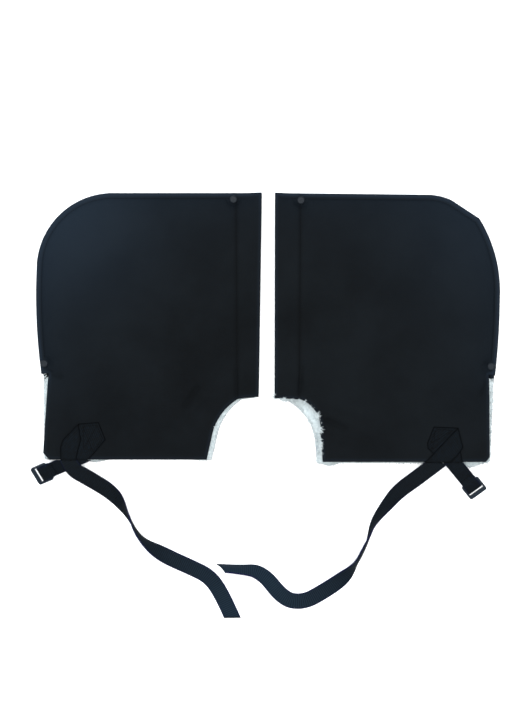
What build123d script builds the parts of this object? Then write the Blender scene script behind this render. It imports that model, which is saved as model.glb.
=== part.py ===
from build123d import *

import os
from dataclasses import dataclass
from math import cos, radians, sin, tan

# A pair of padded handlebar muffs lying on a table, back panels down, in millimetres.
# X runs across the pair, Y towards the top edges and Z up. The origin is on the table, under the
# middle of the pair. Each muff is a back panel and a front panel, sewn together along the top edge,
# the outer corner and the outer side, and open at the hand end, the cut-out and the inner edge.

# ---- the pair -------------------------------------------------------------------------------
MUFF_WIDTH = 287.0          # inner edge to outer side
MUFF_HEIGHT = 339.0         # top edge to the left muff's hem
HALF_SPACE = 8.0            # mid-plane to the left muff's inner edge
PILE_REACH = 9.0            # the lowest back panel reaches this far past the left muff's hem

# ---- cloth ----------------------------------------------------------------------------------
SHELL = 1.0                 # woven outer cloth with its backing
PILE = 6.0                  # fleece lining
POCKET_GAP = 5.0            # between the two linings, with the muff lying flat
HEM_WIDTH = 33.0            # turned-in facing along the inner edge
PANEL_SNIP = 2.6            # off the back panel's outer bottom corner
THREAD_WIDTH = 0.8
THREAD_PROUD = 0.3

# ---- sewn edge ------------------------------------------------------------------------------
EDGE_WIDTH = 14.0           # pressed flat between the side line and the padding
EDGE_THICK = 4.0
EDGE_SLOPE = 14.0           # the padding rises to its full height over this width
SLOPE_SKIN = 1.5            # outer cloth on that slope, measured level
STITCH_IN = 7.0             # topstitching, from the outer side line
FLAP_GAP = 0.6              # between the corner and the flap that lifts, where they are cut apart
HINGE_OFFSET = 7.0          # fold line of the flap, past the middle of the rivets

# ---- rivets ---------------------------------------------------------------------------------
RIVET_CAP_RADIUS = 5.0
RIVET_CAP_HEIGHT = 2.4
RIVET_BASE_RADIUS = 4.5
RIVET_BASE_HEIGHT = 1.2
RIVET_POST_RADIUS = 2.0
RIVET_CLEARANCE = 0.05

# ---- webbing and slide buckle -----------------------------------------------------------------
WEBBING_WIDTH = 20.0
WEBBING_THICK = 1.3
STRAP_GAP = 0.4             # between the sewn fold and the legs that hang from the hem
LEG_LEAD = 6.0              # the buckle leg's square end starts this far behind the hem
BUCKLE_WIDTH = 25.4
BUCKLE_THICK = 3.0
BAR_RADIUS = 1.4            # the round end bar and middle bar, which the webbing is looped round
BAR_SPACING = 9.2           # between the middles of those two
LOOP_CLEARANCE = 0.3
LOOP_TAIL = 14.0            # from the stitches that close the loop to the middle bar
LOOP_GAP = 0.3              # where the loop tilts on the leg
FAR_SLOT = 4.2
FAR_BAR = 4.6
SLOT_CLEARANCE = 0.4        # each side of the webbing
BUCKLE_CORNER = 2.6
BAR_SEAT = 1.5              # each round bar runs this far into each side of the buckle

# ---- levels ---------------------------------------------------------------------------------
BACK_TOP_Z = SHELL + PILE
FRONT_PILE_Z = BACK_TOP_Z + POCKET_GAP
FRONT_SHELL_Z = FRONT_PILE_Z + PILE
TOP_Z = FRONT_SHELL_Z + SHELL
EDGE_Z = BACK_TOP_Z - SHELL
EDGE_TOP_Z = EDGE_Z + EDGE_THICK

OUTER = HALF_SPACE + MUFF_WIDTH
TOP_Y = (MUFF_HEIGHT + PILE_REACH) / 2
HEM_Y = TOP_Y - MUFF_HEIGHT
BEYOND = 60.0               # how far cutting shapes run past what they cut


@dataclass(frozen=True)
class CutOut:
    """The hollow at the foot of the inner edge, from the hem up and over to the inner edge.

    Places are (past, up): past the inner edge's foot, and up from the hem.
    """

    foot: float
    knee: tuple
    middle: tuple
    end: tuple
    height: float


@dataclass(frozen=True)
class Strap:
    """One muff's strap. Places on the fold are (in, up): in from the outer side, up from the hem."""

    under: tuple            # outline of the fold's lower layer, which the buckle leg comes out of
    over: tuple             # outline of its upper layer, which the tail comes out of
    box: tuple              # corners of the box of stitches
    leg_in: float           # middle of the buckle leg where it passes the hem
    leg_angle: float        # its direction below the hem, in plan
    leg_length: float       # hem to the buckle's middle bar, along the webbing
    droop: float            # slope of the leg, from the hem down to the table
    tail: tuple             # the loose tail's route, from the hem to its cut end


@dataclass(frozen=True)
class Muff:
    """One muff. 'in' is from the outer side line, 'drop' from the top edge, 'up' from the left hem."""

    name: str
    side: int               # -1 to the left of the mid-plane, 1 to the right
    inner_top: float        # mid-plane to the inner edge, at the top
    inner_foot: float       # the same, at its foot
    top_sag: float          # how much lower the top edge is at the shoulder
    shoulder_in: float      # where the corner leaves the top edge
    corner: tuple           # (in, drop) places that the corner passes: arc middles and crease ends
    hip_drop: float         # where the corner meets the outer side
    flank: tuple            # (in, drop) of the side's middle, between the hip and the seam end
    seam_end: tuple         # (in, drop) of the sewn edge's tip
    slit_top_in: float      # the front panel steps in here
    slit_foot: tuple        # (in, up) of its outer side's foot
    hem_corner: tuple       # (in, up) of its outer bottom corner, past the snipped corner
    hem_up: float           # hem, up from the left muff's
    front_cut: CutOut
    back_slit_in: tuple     # (top, foot) of the back panel's side, below the seam end
    back_hem_up: float
    back_cut: CutOut
    hem_line_in: float      # hem strip's seam, past the inner edge
    rivets: tuple           # (in, drop) of the top and the side rivet
    strap: Strap


LEFT = Muff(
    name="left",
    side=-1,
    inner_top=HALF_SPACE,
    inner_foot=HALF_SPACE + 4.0,
    top_sag=0.0,
    shoulder_in=97.0,
    corner=((28.4, 28.4),),
    hip_drop=97.0,
    flank=(0.6, 175.0),
    seam_end=(6.0, 230.0),
    slit_top_in=16.0,
    slit_foot=(9.6, 9.0),
    hem_corner=(17.0, 0.0),
    hem_up=0.0,
    front_cut=CutOut(66.0, (60.0, 27.0), (49.5, 54.5), (26.0, 77.0), 80.0),
    back_slit_in=(8.5, 9.0),
    back_hem_up=-3.0,
    back_cut=CutOut(60.0, (53.5, 27.0), (43.0, 54.0), (22.0, 76.0), 79.0),
    hem_line_in=HEM_WIDTH,
    rivets=((250.6, EDGE_WIDTH - 5.5), (EDGE_WIDTH - 4.2, 217.3)),
    strap=Strap(
        under=((54.7, 45.6), (80.1, 47.5), (88.9, 25.3), (71.2, 4.3), (65.5, 0.0), (33.0, 0.0), (48.0, 22.0)),
        over=((35.0, 25.3), (54.7, 45.6), (57.8, 25.3), (54.6, 13.2), (51.5, 0.0), (32.2, 0.0), (31.8, 15.8)),
        box=((60.5, 42.5), (78.0, 43.5), (84.8, 26.0), (72.5, 10.5), (61.0, 14.0)),
        leg_in=48.3,
        leg_angle=23.4,
        leg_length=45.4,
        droop=25.0,
        tail=(
            (-253.0, -165.4, 21.1),
            (-248.0, -177.2, 20.5),
            (-230.2, -187.3, 16.4),
            (-198.4, -207.6, 6.0),
            (-180.7, -230.5, 8.5),
            (-169.9, -254.0, 11.2),
            (-154.0, -273.1, 10.6),
            (-129.9, -287.7, 4.0),
            (-99.4, -300.4, 1.2),
            (-74.0, -315.6, 1.2),
            (-57.2, -341.8, 1.2),
            (-45.7, -368.3, 1.2),
        ),
    ),
)

RIGHT = Muff(
    name="right",
    side=1,
    inner_top=HALF_SPACE + 0.6,
    inner_foot=HALF_SPACE,
    top_sag=2.2,
    shoulder_in=92.0,
    corner=((76.5, 4.0), (62.0, 8.8), (26.0, 32.5), (7.6, 73.0)),
    hip_drop=136.0,
    flank=(1.6, 182.0),
    seam_end=(6.0, 232.0),
    slit_top_in=14.6,
    slit_foot=(14.2, 3.0),
    hem_corner=(19.0, -3.0),
    hem_up=-3.0,
    front_cut=CutOut(61.0, (58.0, 35.0), (52.5, 60.0), (34.0, 76.0), 78.0),
    back_slit_in=(7.0, 12.0),
    back_hem_up=-PILE_REACH,
    back_cut=CutOut(54.0, (52.0, 25.0), (40.0, 54.0), (11.0, 77.0), 77.6),
    hem_line_in=HEM_WIDTH,
    rivets=((253.4, EDGE_WIDTH - 4.4), (EDGE_WIDTH - 2.6, 221.0)),
    strap=Strap(
        under=(
            (85.4, 41.8), (54.4, 40.4), (52.0, 15.0), (48.5, -3.0), (73.0, -3.0),
            (86.1, 7.4), (92.9, 14.3), (93.6, 21.1),
        ),
        over=((54.4, 40.4), (48.2, 15.6), (55.8, 4.6), (65.4, -3.0), (97.2, -3.0), (86.1, 7.4), (69.5, 25.5)),
        box=((83.0, 38.3), (61.0, 37.4), (69.0, 29.5), (87.0, 12.5), (89.5, 20.5)),
        leg_in=60.6,
        leg_angle=50.0,
        leg_length=44.7,
        droop=18.0,
        tail=(
            (214.0, -168.4, 20.95),
            (190.8, -186.7, 17.6),
            (166.1, -205.1, 9.6),
            (150.8, -224.2, 8.5),
            (134.9, -245.7, 10.6),
            (128.6, -263.5, 11.4),
            (122.2, -280.0, 11.0),
            (112.1, -299.1, 10.4),
            (94.9, -318.1, 4.0),
            (68.3, -335.9, 1.2),
            (45.4, -348.0, 1.2),
            (20.0, -344.8, 2.4),
            (-7.9, -307.2, 5.0),
            (-35.6, -301.1, 9.5),
            (-61.7, -299.8, 9.5),
        ),
    ),
)


# ---- places on a muff -----------------------------------------------------------------------
def place(muff, inward, drop):
    """The plan position that is 'inward' from the outer side line and 'drop' below the top edge."""
    return (muff.side * (OUTER - inward), TOP_Y - drop)


def foot_place(muff, inward, up):
    """The plan position that is 'inward' from the outer side line and 'up' from the left hem."""
    return (muff.side * (OUTER - inward), HEM_Y + up)


def cut_place(muff, past, up):
    """The plan position that is 'past' the foot of the inner edge and 'up' from the left hem."""
    return (muff.side * (muff.inner_foot + past), HEM_Y + up)


def fold_line(muff):
    """A point on the flap's fold line and the level unit vector from it towards the flap."""
    (top_x, top_y), (side_x, side_y) = (place(muff, *rivet) for rivet in muff.rivets)
    along = Vector(side_x - top_x, side_y - top_y).normalized()
    towards = Vector(-along.Y, along.X) * -muff.side
    return Vector(top_x, top_y) + towards * HINGE_OFFSET, towards


def fold_plane(muff, shift=0.0):
    """The upright plane through the fold line, moved 'shift' towards the flap, which it faces."""
    point, towards = fold_line(muff)
    return Plane(origin=point + towards * shift, x_dir=(0, 0, 1), z_dir=towards)


# ---- outlines -------------------------------------------------------------------------------
def corner_curve(muff, start, end):
    """The outer corner: one arc, or an arc, a straight crease and an arc."""
    places = [place(muff, *spot) for spot in muff.corner]
    if len(places) == 1:
        ThreePointArc(start, places[0], end)
    else:
        first_middle, crease_start, crease_end, second_middle = places
        ThreePointArc(start, first_middle, crease_start)
        Line(crease_start, crease_end)
        ThreePointArc(crease_end, second_middle, end)


def upper_border(muff, start):
    """The top edge, the corner and the outer side down to the seam's end, which it returns."""
    shoulder = place(muff, muff.shoulder_in, muff.top_sag)
    hip = place(muff, 0, muff.hip_drop)
    seam_end = place(muff, *muff.seam_end)
    Line(start, shoulder)
    corner_curve(muff, shoulder, hip)
    ThreePointArc(hip, place(muff, *muff.flank), seam_end)
    return seam_end


def panel_face(muff, level, slit, hem_up, hem_corner, cut):
    """A panel's whole outline, at height 'level'.

    slit is the outer side below the seam's end, as its top and foot. The hem runs from hem_corner
    to the cut-out.
    """
    start = (muff.side * muff.inner_top, TOP_Y)
    inner_foot = cut_place(muff, 0, cut.height)
    with BuildSketch(Plane.XY.offset(level)) as face:
        with BuildLine():
            seam_end = upper_border(muff, start)
            Polyline(seam_end, slit[0], slit[1], hem_corner, cut_place(muff, cut.foot, hem_up))
            Line(cut_place(muff, cut.foot, hem_up), cut_place(muff, *cut.knee))
            ThreePointArc(
                cut_place(muff, *cut.knee), cut_place(muff, *cut.middle), cut_place(muff, *cut.end)
            )
            Polyline(cut_place(muff, *cut.end), inner_foot, start)
        make_face()
    return face.sketch


def front_face(muff, level):
    """The front panel's outline, stepped in below the seam's end, with a snipped outer corner."""
    slit = (place(muff, muff.slit_top_in, muff.seam_end[1]), foot_place(muff, *muff.slit_foot))
    return panel_face(muff, level, slit, muff.hem_up, foot_place(muff, *muff.hem_corner), muff.front_cut)


def back_face(muff, level):
    """The back panel's outline, which shows its pile past the front panel's free edges."""
    slit_top, slit_foot = muff.back_slit_in
    slit = (
        place(muff, slit_top, muff.seam_end[1] + SHELL),
        foot_place(muff, slit_foot, muff.back_hem_up + PANEL_SNIP),
    )
    hem_corner = foot_place(muff, slit_foot + PANEL_SNIP, muff.back_hem_up)
    return panel_face(muff, level, slit, muff.back_hem_up, hem_corner, muff.back_cut)


def hood_face(muff, level, inset):
    """The corner region inside the sewn edge, 'inset' from it, closed well past the fold line."""
    start = (-muff.side * BEYOND, TOP_Y)
    with BuildSketch(Plane.XY.offset(level)) as face:
        with BuildLine():
            seam_end = upper_border(muff, start)
            low = TOP_Y - muff.seam_end[1] - BEYOND
            Polyline(seam_end, (seam_end[0], low), (start[0], low), start)
        make_face()
        if inset:
            offset(amount=-inset, kind=Kind.INTERSECTION)
    return face.sketch


def hem_strip(muff, level):
    """The strip along the inner edge, from past the edge to the hem's seam, as a cutting shape."""
    near = min(muff.inner_top, muff.inner_foot)
    far = near + muff.hem_line_in
    with BuildSketch(Plane.XY.offset(level)) as strip:
        with BuildLine():
            low = HEM_Y - BEYOND
            Polyline(
                (-muff.side * BEYOND, TOP_Y + BEYOND),
                (muff.side * far, TOP_Y + BEYOND),
                (muff.side * far, low),
                (-muff.side * BEYOND, low),
                close=True,
            )
        make_face()
    return strip.sketch


# ---- panels ---------------------------------------------------------------------------------
def corner_block(muff, low, low_inset, high, high_inset):
    """The corner region with sides that slope from one inset at 'low' to another at 'high'."""
    with BuildPart() as block:
        loft([hood_face(muff, low, low_inset), hood_face(muff, high, high_inset)], ruled=True)
    return block.part


def corner_front(muff, skin, high):
    """The raised corner of the front panel up to 'high', 'skin' inside its outer surface."""
    foot = EDGE_WIDTH + skin
    with BuildPart() as block:
        add(corner_block(muff, EDGE_TOP_Z, foot, high, foot + EDGE_SLOPE))
        split(bisect_by=fold_plane(muff, -FLAP_GAP / 2), keep=Keep.BOTTOM)
    return block.part


def corner_back(muff, skin, low, high):
    """The corner of the back panel from 'low', where it lies flat, up to the sewn edge."""
    foot = EDGE_WIDTH + skin
    with BuildPart() as block:
        add(corner_block(muff, low, foot + EDGE_SLOPE, high, foot))
        split(bisect_by=fold_plane(muff), keep=Keep.BOTTOM)
    return block.part


def free_slab(muff, face, height, shift=0.0):
    """A panel's flat stretch on the flap's side of the fold line."""
    with BuildPart() as slab:
        extrude(face, amount=height)
        split(bisect_by=fold_plane(muff, shift), keep=Keep.TOP)
    return slab.part


def front_corner_shell(muff):
    with BuildPart() as shell:
        add(corner_front(muff, 0, TOP_Z))
        add(corner_front(muff, SLOPE_SKIN, FRONT_SHELL_Z), mode=Mode.SUBTRACT)
    return shell


def front_corner_lining(muff):
    with BuildPart() as lining:
        add(corner_front(muff, SLOPE_SKIN, FRONT_SHELL_Z))
        split(bisect_by=Plane.XY.offset(FRONT_PILE_Z), keep=Keep.TOP)
    return lining


def front_flap_shell(muff):
    with BuildPart() as shell:
        add(free_slab(muff, front_face(muff, FRONT_SHELL_Z), SHELL, FLAP_GAP / 2))
    return shell


def front_flap_lining(muff):
    with BuildPart() as lining:
        add(free_slab(muff, front_face(muff, FRONT_PILE_Z), PILE, FLAP_GAP / 2))
        extrude(hem_strip(muff, FRONT_PILE_Z), amount=PILE, mode=Mode.SUBTRACT)
    return lining


def front_hem(muff):
    """The front shell's edge, turned in under itself along the inner edge."""
    with BuildPart() as hem:
        add(free_slab(muff, front_face(muff, FRONT_SHELL_Z - SHELL), SHELL, FLAP_GAP / 2))
        extrude(hem_strip(muff, FRONT_SHELL_Z - SHELL), amount=SHELL, mode=Mode.INTERSECT)
    return hem


def back_shell(muff):
    with BuildPart() as shell:
        add(corner_back(muff, 0, 0, EDGE_Z))
        add(corner_back(muff, SLOPE_SKIN, SHELL, BACK_TOP_Z), mode=Mode.SUBTRACT)
        add(free_slab(muff, back_face(muff, 0), SHELL))
    return shell


def back_lining(muff):
    with BuildPart() as lining:
        add(corner_back(muff, SLOPE_SKIN, SHELL, BACK_TOP_Z))
        add(free_slab(muff, back_face(muff, SHELL), PILE))
        extrude(hem_strip(muff, SHELL), amount=PILE, mode=Mode.SUBTRACT)
    return lining


def back_hem(muff):
    """The back shell's edge, turned in over itself along the inner edge."""
    with BuildPart() as hem:
        add(free_slab(muff, back_face(muff, SHELL), SHELL))
        extrude(hem_strip(muff, SHELL), amount=SHELL, mode=Mode.INTERSECT)
    return hem


# ---- sewn edge and its thread -----------------------------------------------------------------
def sewn_edge(muff):
    """Both panels' edges turned in and pressed together, with a hole for each rivet."""
    with BuildPart() as edge:
        extrude(front_face(muff, EDGE_Z), amount=EDGE_THICK)
        extrude(hood_face(muff, EDGE_Z, EDGE_WIDTH), amount=EDGE_THICK, mode=Mode.SUBTRACT)
        split(bisect_by=fold_plane(muff, -FLAP_GAP / 2), keep=Keep.BOTTOM)
        with Locations(*[(*place(muff, *rivet), EDGE_TOP_Z) for rivet in muff.rivets]):
            Hole(radius=RIVET_POST_RADIUS + RIVET_CLEARANCE, depth=EDGE_THICK)
    return edge


def edge_stitching(muff):
    """The row of topstitching, which stops short of each rivet's cap."""
    half = THREAD_WIDTH / 2
    with BuildPart() as thread:
        extrude(hood_face(muff, EDGE_TOP_Z, STITCH_IN - half), amount=THREAD_PROUD)
        extrude(hood_face(muff, EDGE_TOP_Z, STITCH_IN + half), amount=THREAD_PROUD, mode=Mode.SUBTRACT)
        split(bisect_by=fold_plane(muff, -FLAP_GAP / 2), keep=Keep.BOTTOM)
        with Locations(*[(*place(muff, *rivet), EDGE_TOP_Z) for rivet in muff.rivets]):
            Cylinder(RIVET_CAP_RADIUS + THREAD_WIDTH, RIVET_CAP_HEIGHT, mode=Mode.SUBTRACT)
    return thread


def hem_stitching(muff):
    """The row of stitches that holds the front hem, along its seam."""
    line_x = min(muff.inner_top, muff.inner_foot) + muff.hem_line_in
    point, towards = fold_line(muff)
    fold_y = point.Y - (muff.side * line_x - point.X) * towards.X / towards.Y
    start_y = fold_y - HINGE_OFFSET
    end_y = HEM_Y + muff.front_cut.height
    with BuildPart() as thread:
        with BuildSketch(Plane.XY.offset(TOP_Z)):
            with Locations((muff.side * line_x, (start_y + end_y) / 2)):
                Rectangle(THREAD_WIDTH, start_y - end_y - 2 * STITCH_IN)
        extrude(amount=THREAD_PROUD)
    return thread


# ---- rivets ---------------------------------------------------------------------------------
def rivet_cap(muff, rivet):
    """A domed cap and its post, which ends flush with the base."""
    x, y = place(muff, *rivet)
    post = EDGE_THICK + RIVET_BASE_HEIGHT
    with BuildPart() as cap:
        with BuildSketch(Plane.XY.offset(EDGE_TOP_Z)):
            with Locations((x, y)):
                Circle(RIVET_CAP_RADIUS)
        extrude(amount=RIVET_CAP_HEIGHT)
        fillet(cap.edges().sort_by(Axis.Z)[-1], RIVET_CAP_HEIGHT * 0.7)
        with BuildSketch(Plane.XY.offset(EDGE_TOP_Z - post)):
            with Locations((x, y)):
                Circle(RIVET_POST_RADIUS)
        extrude(amount=post)
    return cap


def rivet_base(muff, rivet):
    """The ring under the sewn edge that the post is spread in."""
    with BuildPart() as base:
        with BuildSketch(Plane.XY.offset(EDGE_Z - RIVET_BASE_HEIGHT)):
            with Locations(place(muff, *rivet)):
                Circle(RIVET_BASE_RADIUS)
                Circle(RIVET_POST_RADIUS + RIVET_CLEARANCE, mode=Mode.SUBTRACT)
        extrude(amount=RIVET_BASE_HEIGHT)
    return base


# ---- straps ---------------------------------------------------------------------------------
def fold_layer(muff, outline, level):
    """A flat layer of the folded webbing."""
    with BuildPart() as layer:
        with BuildSketch(Plane.XY.offset(level)):
            with BuildLine():
                Polyline(*[foot_place(muff, *spot) for spot in outline], close=True)
            make_face()
        extrude(amount=WEBBING_THICK)
    return layer


def strap_anchor(muff):
    """The webbing's fold, sewn to the front panel: the tail's layer lies on the buckle leg's."""
    with BuildPart() as anchor:
        add(fold_layer(muff, muff.strap.under, TOP_Z).part)
        add(fold_layer(muff, muff.strap.over, TOP_Z + WEBBING_THICK).part)
    return anchor


def anchor_stitching(muff):
    """The box of stitches through the fold's lower layer."""
    with BuildPart() as thread:
        with BuildSketch(Plane.XY.offset(TOP_Z + WEBBING_THICK)):
            with BuildLine():
                Polyline(*[foot_place(muff, *spot) for spot in muff.strap.box], close=True)
            make_face()
            offset(amount=-THREAD_WIDTH, kind=Kind.INTERSECTION, mode=Mode.SUBTRACT)
        extrude(amount=THREAD_PROUD)
    return thread


def hem_plane(muff):
    """The upright plane just past the front hem, facing away from the muff."""
    return Plane(origin=(0, HEM_Y + muff.hem_up - STRAP_GAP, 0), x_dir=(1, 0, 0), z_dir=(0, -1, 0))


def leg_plane(muff):
    """The buckle leg's own plane: X along it from the hem, Y across it and Z out of its face."""
    strap = muff.strap
    turn = radians(strap.leg_angle)
    out, down = cos(turn), sin(turn)
    fall = radians(strap.droop)
    x, _ = foot_place(muff, strap.leg_in, 0)
    hem = hem_plane(muff).origin.Y
    level = TOP_Z + WEBBING_THICK - WEBBING_THICK / cos(fall)
    return Plane(
        origin=(x, hem, level),
        x_dir=(muff.side * out, -down, -down * tan(fall)),
        z_dir=(0, -sin(fall), cos(fall)),
    )


def across_leg(muff):
    """The upright plane down the middle of the buckle leg: X along the leg, Y out of its face."""
    leg = leg_plane(muff)
    return Plane(origin=leg.origin, x_dir=leg.x_dir, z_dir=leg.x_dir.cross(leg.z_dir))


def buckle_leg(muff):
    """Webbing from the hem to the stitches that close the buckle's loop."""
    neck = muff.strap.leg_length - LOOP_TAIL
    with BuildPart() as leg:
        with BuildSketch(across_leg(muff)):
            with Locations(((neck - LEG_LEAD) / 2, WEBBING_THICK / 2)):
                Rectangle(neck + LEG_LEAD, WEBBING_THICK)
        extrude(amount=WEBBING_WIDTH / 2, both=True)
        split(bisect_by=hem_plane(muff), keep=Keep.TOP)
    return leg


def buckle_loop(muff):
    """The webbing's end, looped over and under the buckle's end bar and round its middle bar."""
    middle_bar = (muff.strap.leg_length, WEBBING_THICK / 2)
    end_bar = (muff.strap.leg_length - BAR_SPACING, WEBBING_THICK / 2)
    neck = muff.strap.leg_length - LOOP_TAIL + LOOP_GAP
    inner = BAR_RADIUS + LOOP_CLEARANCE
    outer = inner + WEBBING_THICK
    with BuildPart() as loop:
        with BuildSketch(across_leg(muff)):
            with BuildLine():
                CenterArc(middle_bar, outer, 0, 360)
                CenterArc(end_bar, outer, 0, 360)
                Line((neck, WEBBING_THICK), (neck, -WEBBING_THICK))
            make_hull()
            with Locations((muff.strap.leg_length - BAR_SPACING / 2, WEBBING_THICK / 2)):
                SlotCenterToCenter(BAR_SPACING, 2 * inner, mode=Mode.SUBTRACT)
        extrude(amount=WEBBING_WIDTH / 2, both=True)
    return loop


def buckle(muff):
    """A three-bar slide: two round bars in the webbing's loop, an open slot and a flat far bar."""
    leg = leg_plane(muff)
    middle = muff.strap.leg_length
    clear_width = WEBBING_WIDTH + 2 * SLOT_CLEARANCE
    start = middle - BAR_SPACING - BAR_RADIUS
    slot_end = middle + BAR_RADIUS + FAR_SLOT
    end = slot_end + FAR_BAR
    plane = Plane(
        origin=leg.origin + leg.z_dir * (WEBBING_THICK - BUCKLE_THICK) / 2, x_dir=leg.x_dir, z_dir=leg.z_dir
    )
    with BuildPart() as frame:
        with BuildSketch(plane):
            with Locations(((start + end) / 2, 0)):
                RectangleRounded(end - start, BUCKLE_WIDTH, BUCKLE_CORNER)
            with Locations(((start + slot_end) / 2, 0)):
                Rectangle(slot_end - start, clear_width, mode=Mode.SUBTRACT)
        extrude(amount=BUCKLE_THICK)
        with BuildSketch(across_leg(muff)):
            with Locations((middle, WEBBING_THICK / 2), (middle - BAR_SPACING, WEBBING_THICK / 2)):
                Circle(BAR_RADIUS)
        extrude(amount=clear_width / 2 + BAR_SEAT, both=True)
    return frame


def strap_tail(muff):
    """The loose tail: a flat band along its route, flat side down, with the arcs' radii printed."""
    route = [Vector(*spot) for spot in muff.strap.tail]
    radii = []
    for before, here, after in zip(route, route[1:], route[2:]):
        turn = (here - before).get_angle(after - here)
        shorter = min((here - before).length, (after - here).length)
        radii.append(0.45 * shorter / tan(radians(turn / 2)))
    with BuildLine() as path:
        FilletPolyline(*route, radius=radii)
    print(muff.name, "tail radii:", [round(r) for r in radii], "length:", round(path.wires()[0].length, 1))
    heading = path.wires()[0] % 0
    level = Vector(-heading.Y, heading.X, 0).normalized()
    with BuildPart() as tail:
        with BuildSketch(Plane(origin=route[0], x_dir=level, z_dir=heading)):
            Rectangle(WEBBING_WIDTH, WEBBING_THICK)
        sweep(path=path.wires()[0], binormal=path.wires()[0].moved(Location((0, 0, WEBBING_WIDTH))))
        share = tail.part.volume / (WEBBING_WIDTH * WEBBING_THICK * path.wires()[0].length)
        print(muff.name, "tail volume over section times length:", round(share, 4))
        with BuildSketch(Plane(origin=route[0] - heading * WEBBING_WIDTH, x_dir=level, z_dir=heading)):
            Rectangle(WEBBING_WIDTH, WEBBING_THICK)
        extrude(amount=WEBBING_WIDTH)
        split(bisect_by=hem_plane(muff), keep=Keep.TOP)
    return tail


# ---- building -------------------------------------------------------------------------------
def finish(name, builder):
    """Label one finished piece and write it."""
    builder.part.label = name
    export_step(builder.part, f"parts/{name}.step")


os.makedirs("parts", exist_ok=True)
for muff in (LEFT, RIGHT):
    for piece in (
        back_shell,
        back_lining,
        back_hem,
        sewn_edge,
        edge_stitching,
        front_corner_shell,
        front_corner_lining,
        front_flap_shell,
        front_flap_lining,
        front_hem,
        hem_stitching,
        strap_anchor,
        anchor_stitching,
        buckle_leg,
        buckle_loop,
        buckle,
        strap_tail,
    ):
        finish(f"{muff.name}_{piece.__name__}", piece(muff))
    for end, rivet in zip(("top", "side"), muff.rivets):
        finish(f"{muff.name}_{end}_rivet_cap", rivet_cap(muff, rivet))
        finish(f"{muff.name}_{end}_rivet_base", rivet_base(muff, rivet))
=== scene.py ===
"""A pair of padded handlebar muffs lying on a table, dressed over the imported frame.

Each muff is a front and a back panel of woven cloth with fleece inside, sewn together round the
outer corner, with two rivets, a fold of webbing, a slide buckle and a loose strap end. Shapes are
worked out in millimetres in the frame's own axes and turned into metres when a mesh is made.
"""

from __future__ import annotations

import logging
import math
import random
from collections.abc import Callable, Sequence
from dataclasses import dataclass, field
from enum import Enum

import bpy
import numpy as np
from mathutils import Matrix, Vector, noise
from mathutils.bvhtree import BVHTree
from mathutils.geometry import delaunay_2d_cdt

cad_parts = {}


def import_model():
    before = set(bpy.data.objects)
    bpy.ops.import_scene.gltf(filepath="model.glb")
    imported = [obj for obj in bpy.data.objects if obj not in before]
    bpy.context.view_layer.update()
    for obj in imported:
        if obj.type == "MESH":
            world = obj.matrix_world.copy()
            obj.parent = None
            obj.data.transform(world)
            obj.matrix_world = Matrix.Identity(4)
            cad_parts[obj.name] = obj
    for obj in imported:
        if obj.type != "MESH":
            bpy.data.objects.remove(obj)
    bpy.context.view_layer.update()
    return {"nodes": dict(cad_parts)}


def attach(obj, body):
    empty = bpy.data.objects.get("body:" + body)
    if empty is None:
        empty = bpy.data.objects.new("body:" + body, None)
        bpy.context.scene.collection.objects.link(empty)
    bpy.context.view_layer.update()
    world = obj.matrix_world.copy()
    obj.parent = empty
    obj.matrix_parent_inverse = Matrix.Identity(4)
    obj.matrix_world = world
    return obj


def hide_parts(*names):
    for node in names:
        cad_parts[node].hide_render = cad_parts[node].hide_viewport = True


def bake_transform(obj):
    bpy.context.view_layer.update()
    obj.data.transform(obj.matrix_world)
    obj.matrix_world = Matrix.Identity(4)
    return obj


LOG = logging.getLogger("muffs")
MM = 0.001

Spot = tuple[float, float]
Place = tuple[float, float, float]
Colour = tuple[float, float, float]


class Side(Enum):
    """Which muff of the pair, by the sign of its X."""

    LEFT = -1
    RIGHT = 1

    @property
    def word(self) -> str:
        """The side's name in the frame's node and body names."""
        return self.name.lower()


class Slot(Enum):
    """Names of the material slots."""

    CLOTH = "woven_shell"
    FLEECE = "pile_lining"
    WEBBING = "webbing"
    THREAD = "thread"
    PLASTIC = "buckle_plastic"
    METAL = "rivet_metal"


# ---- plane shapes ---------------------------------------------------------------------------
def straight(start: Spot, end: Spot, step: float = 2.0) -> np.ndarray:
    """Evenly spaced points from start up to, and not including, end.

    Args:
        start: First point.
        end: The point that the next run starts with.
        step: Greatest spacing.

    Returns:
        The points, one a row.
    """
    a, b = np.array(start, float), np.array(end, float)
    count = max(1, math.ceil(np.linalg.norm(b - a) / step))
    return a + (b - a) * (np.arange(count) / count)[:, None]


def bent(start: Spot, through: Spot, end: Spot, step: float = 2.0) -> np.ndarray:
    """Points along the arc from start through a middle point, not including end.

    Args:
        start: First point.
        through: A point of the arc between the two.
        end: The point that the next run starts with.
        step: Greatest spacing.

    Returns:
        The points, one a row.
    """
    a, m, b = (np.array(p, float) for p in (start, through, end))
    sides = np.array([m - a, b - a]) * 2
    centre = np.linalg.solve(sides, [m @ m - a @ a, b @ b - a @ a])
    turn = [math.atan2(*(p - centre)[::-1]) for p in (a, m, b)]
    sweep_m = (turn[1] - turn[0]) % math.tau
    sweep_b = (turn[2] - turn[0]) % math.tau
    if sweep_m > sweep_b:
        sweep_b -= math.tau
    radius = float(np.linalg.norm(a - centre))
    count = max(2, math.ceil(abs(sweep_b) * radius / step))
    angles = turn[0] + sweep_b * np.arange(count) / count
    return centre + radius * np.column_stack([np.cos(angles), np.sin(angles)])


def ease(values: np.ndarray | float, low: float, high: float) -> np.ndarray:
    """A smooth step of the values, from 0 at low to 1 at high."""
    share = np.clip((np.asarray(values, float) - low) / (high - low), 0, 1)
    return share * share * (3 - 2 * share)


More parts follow.
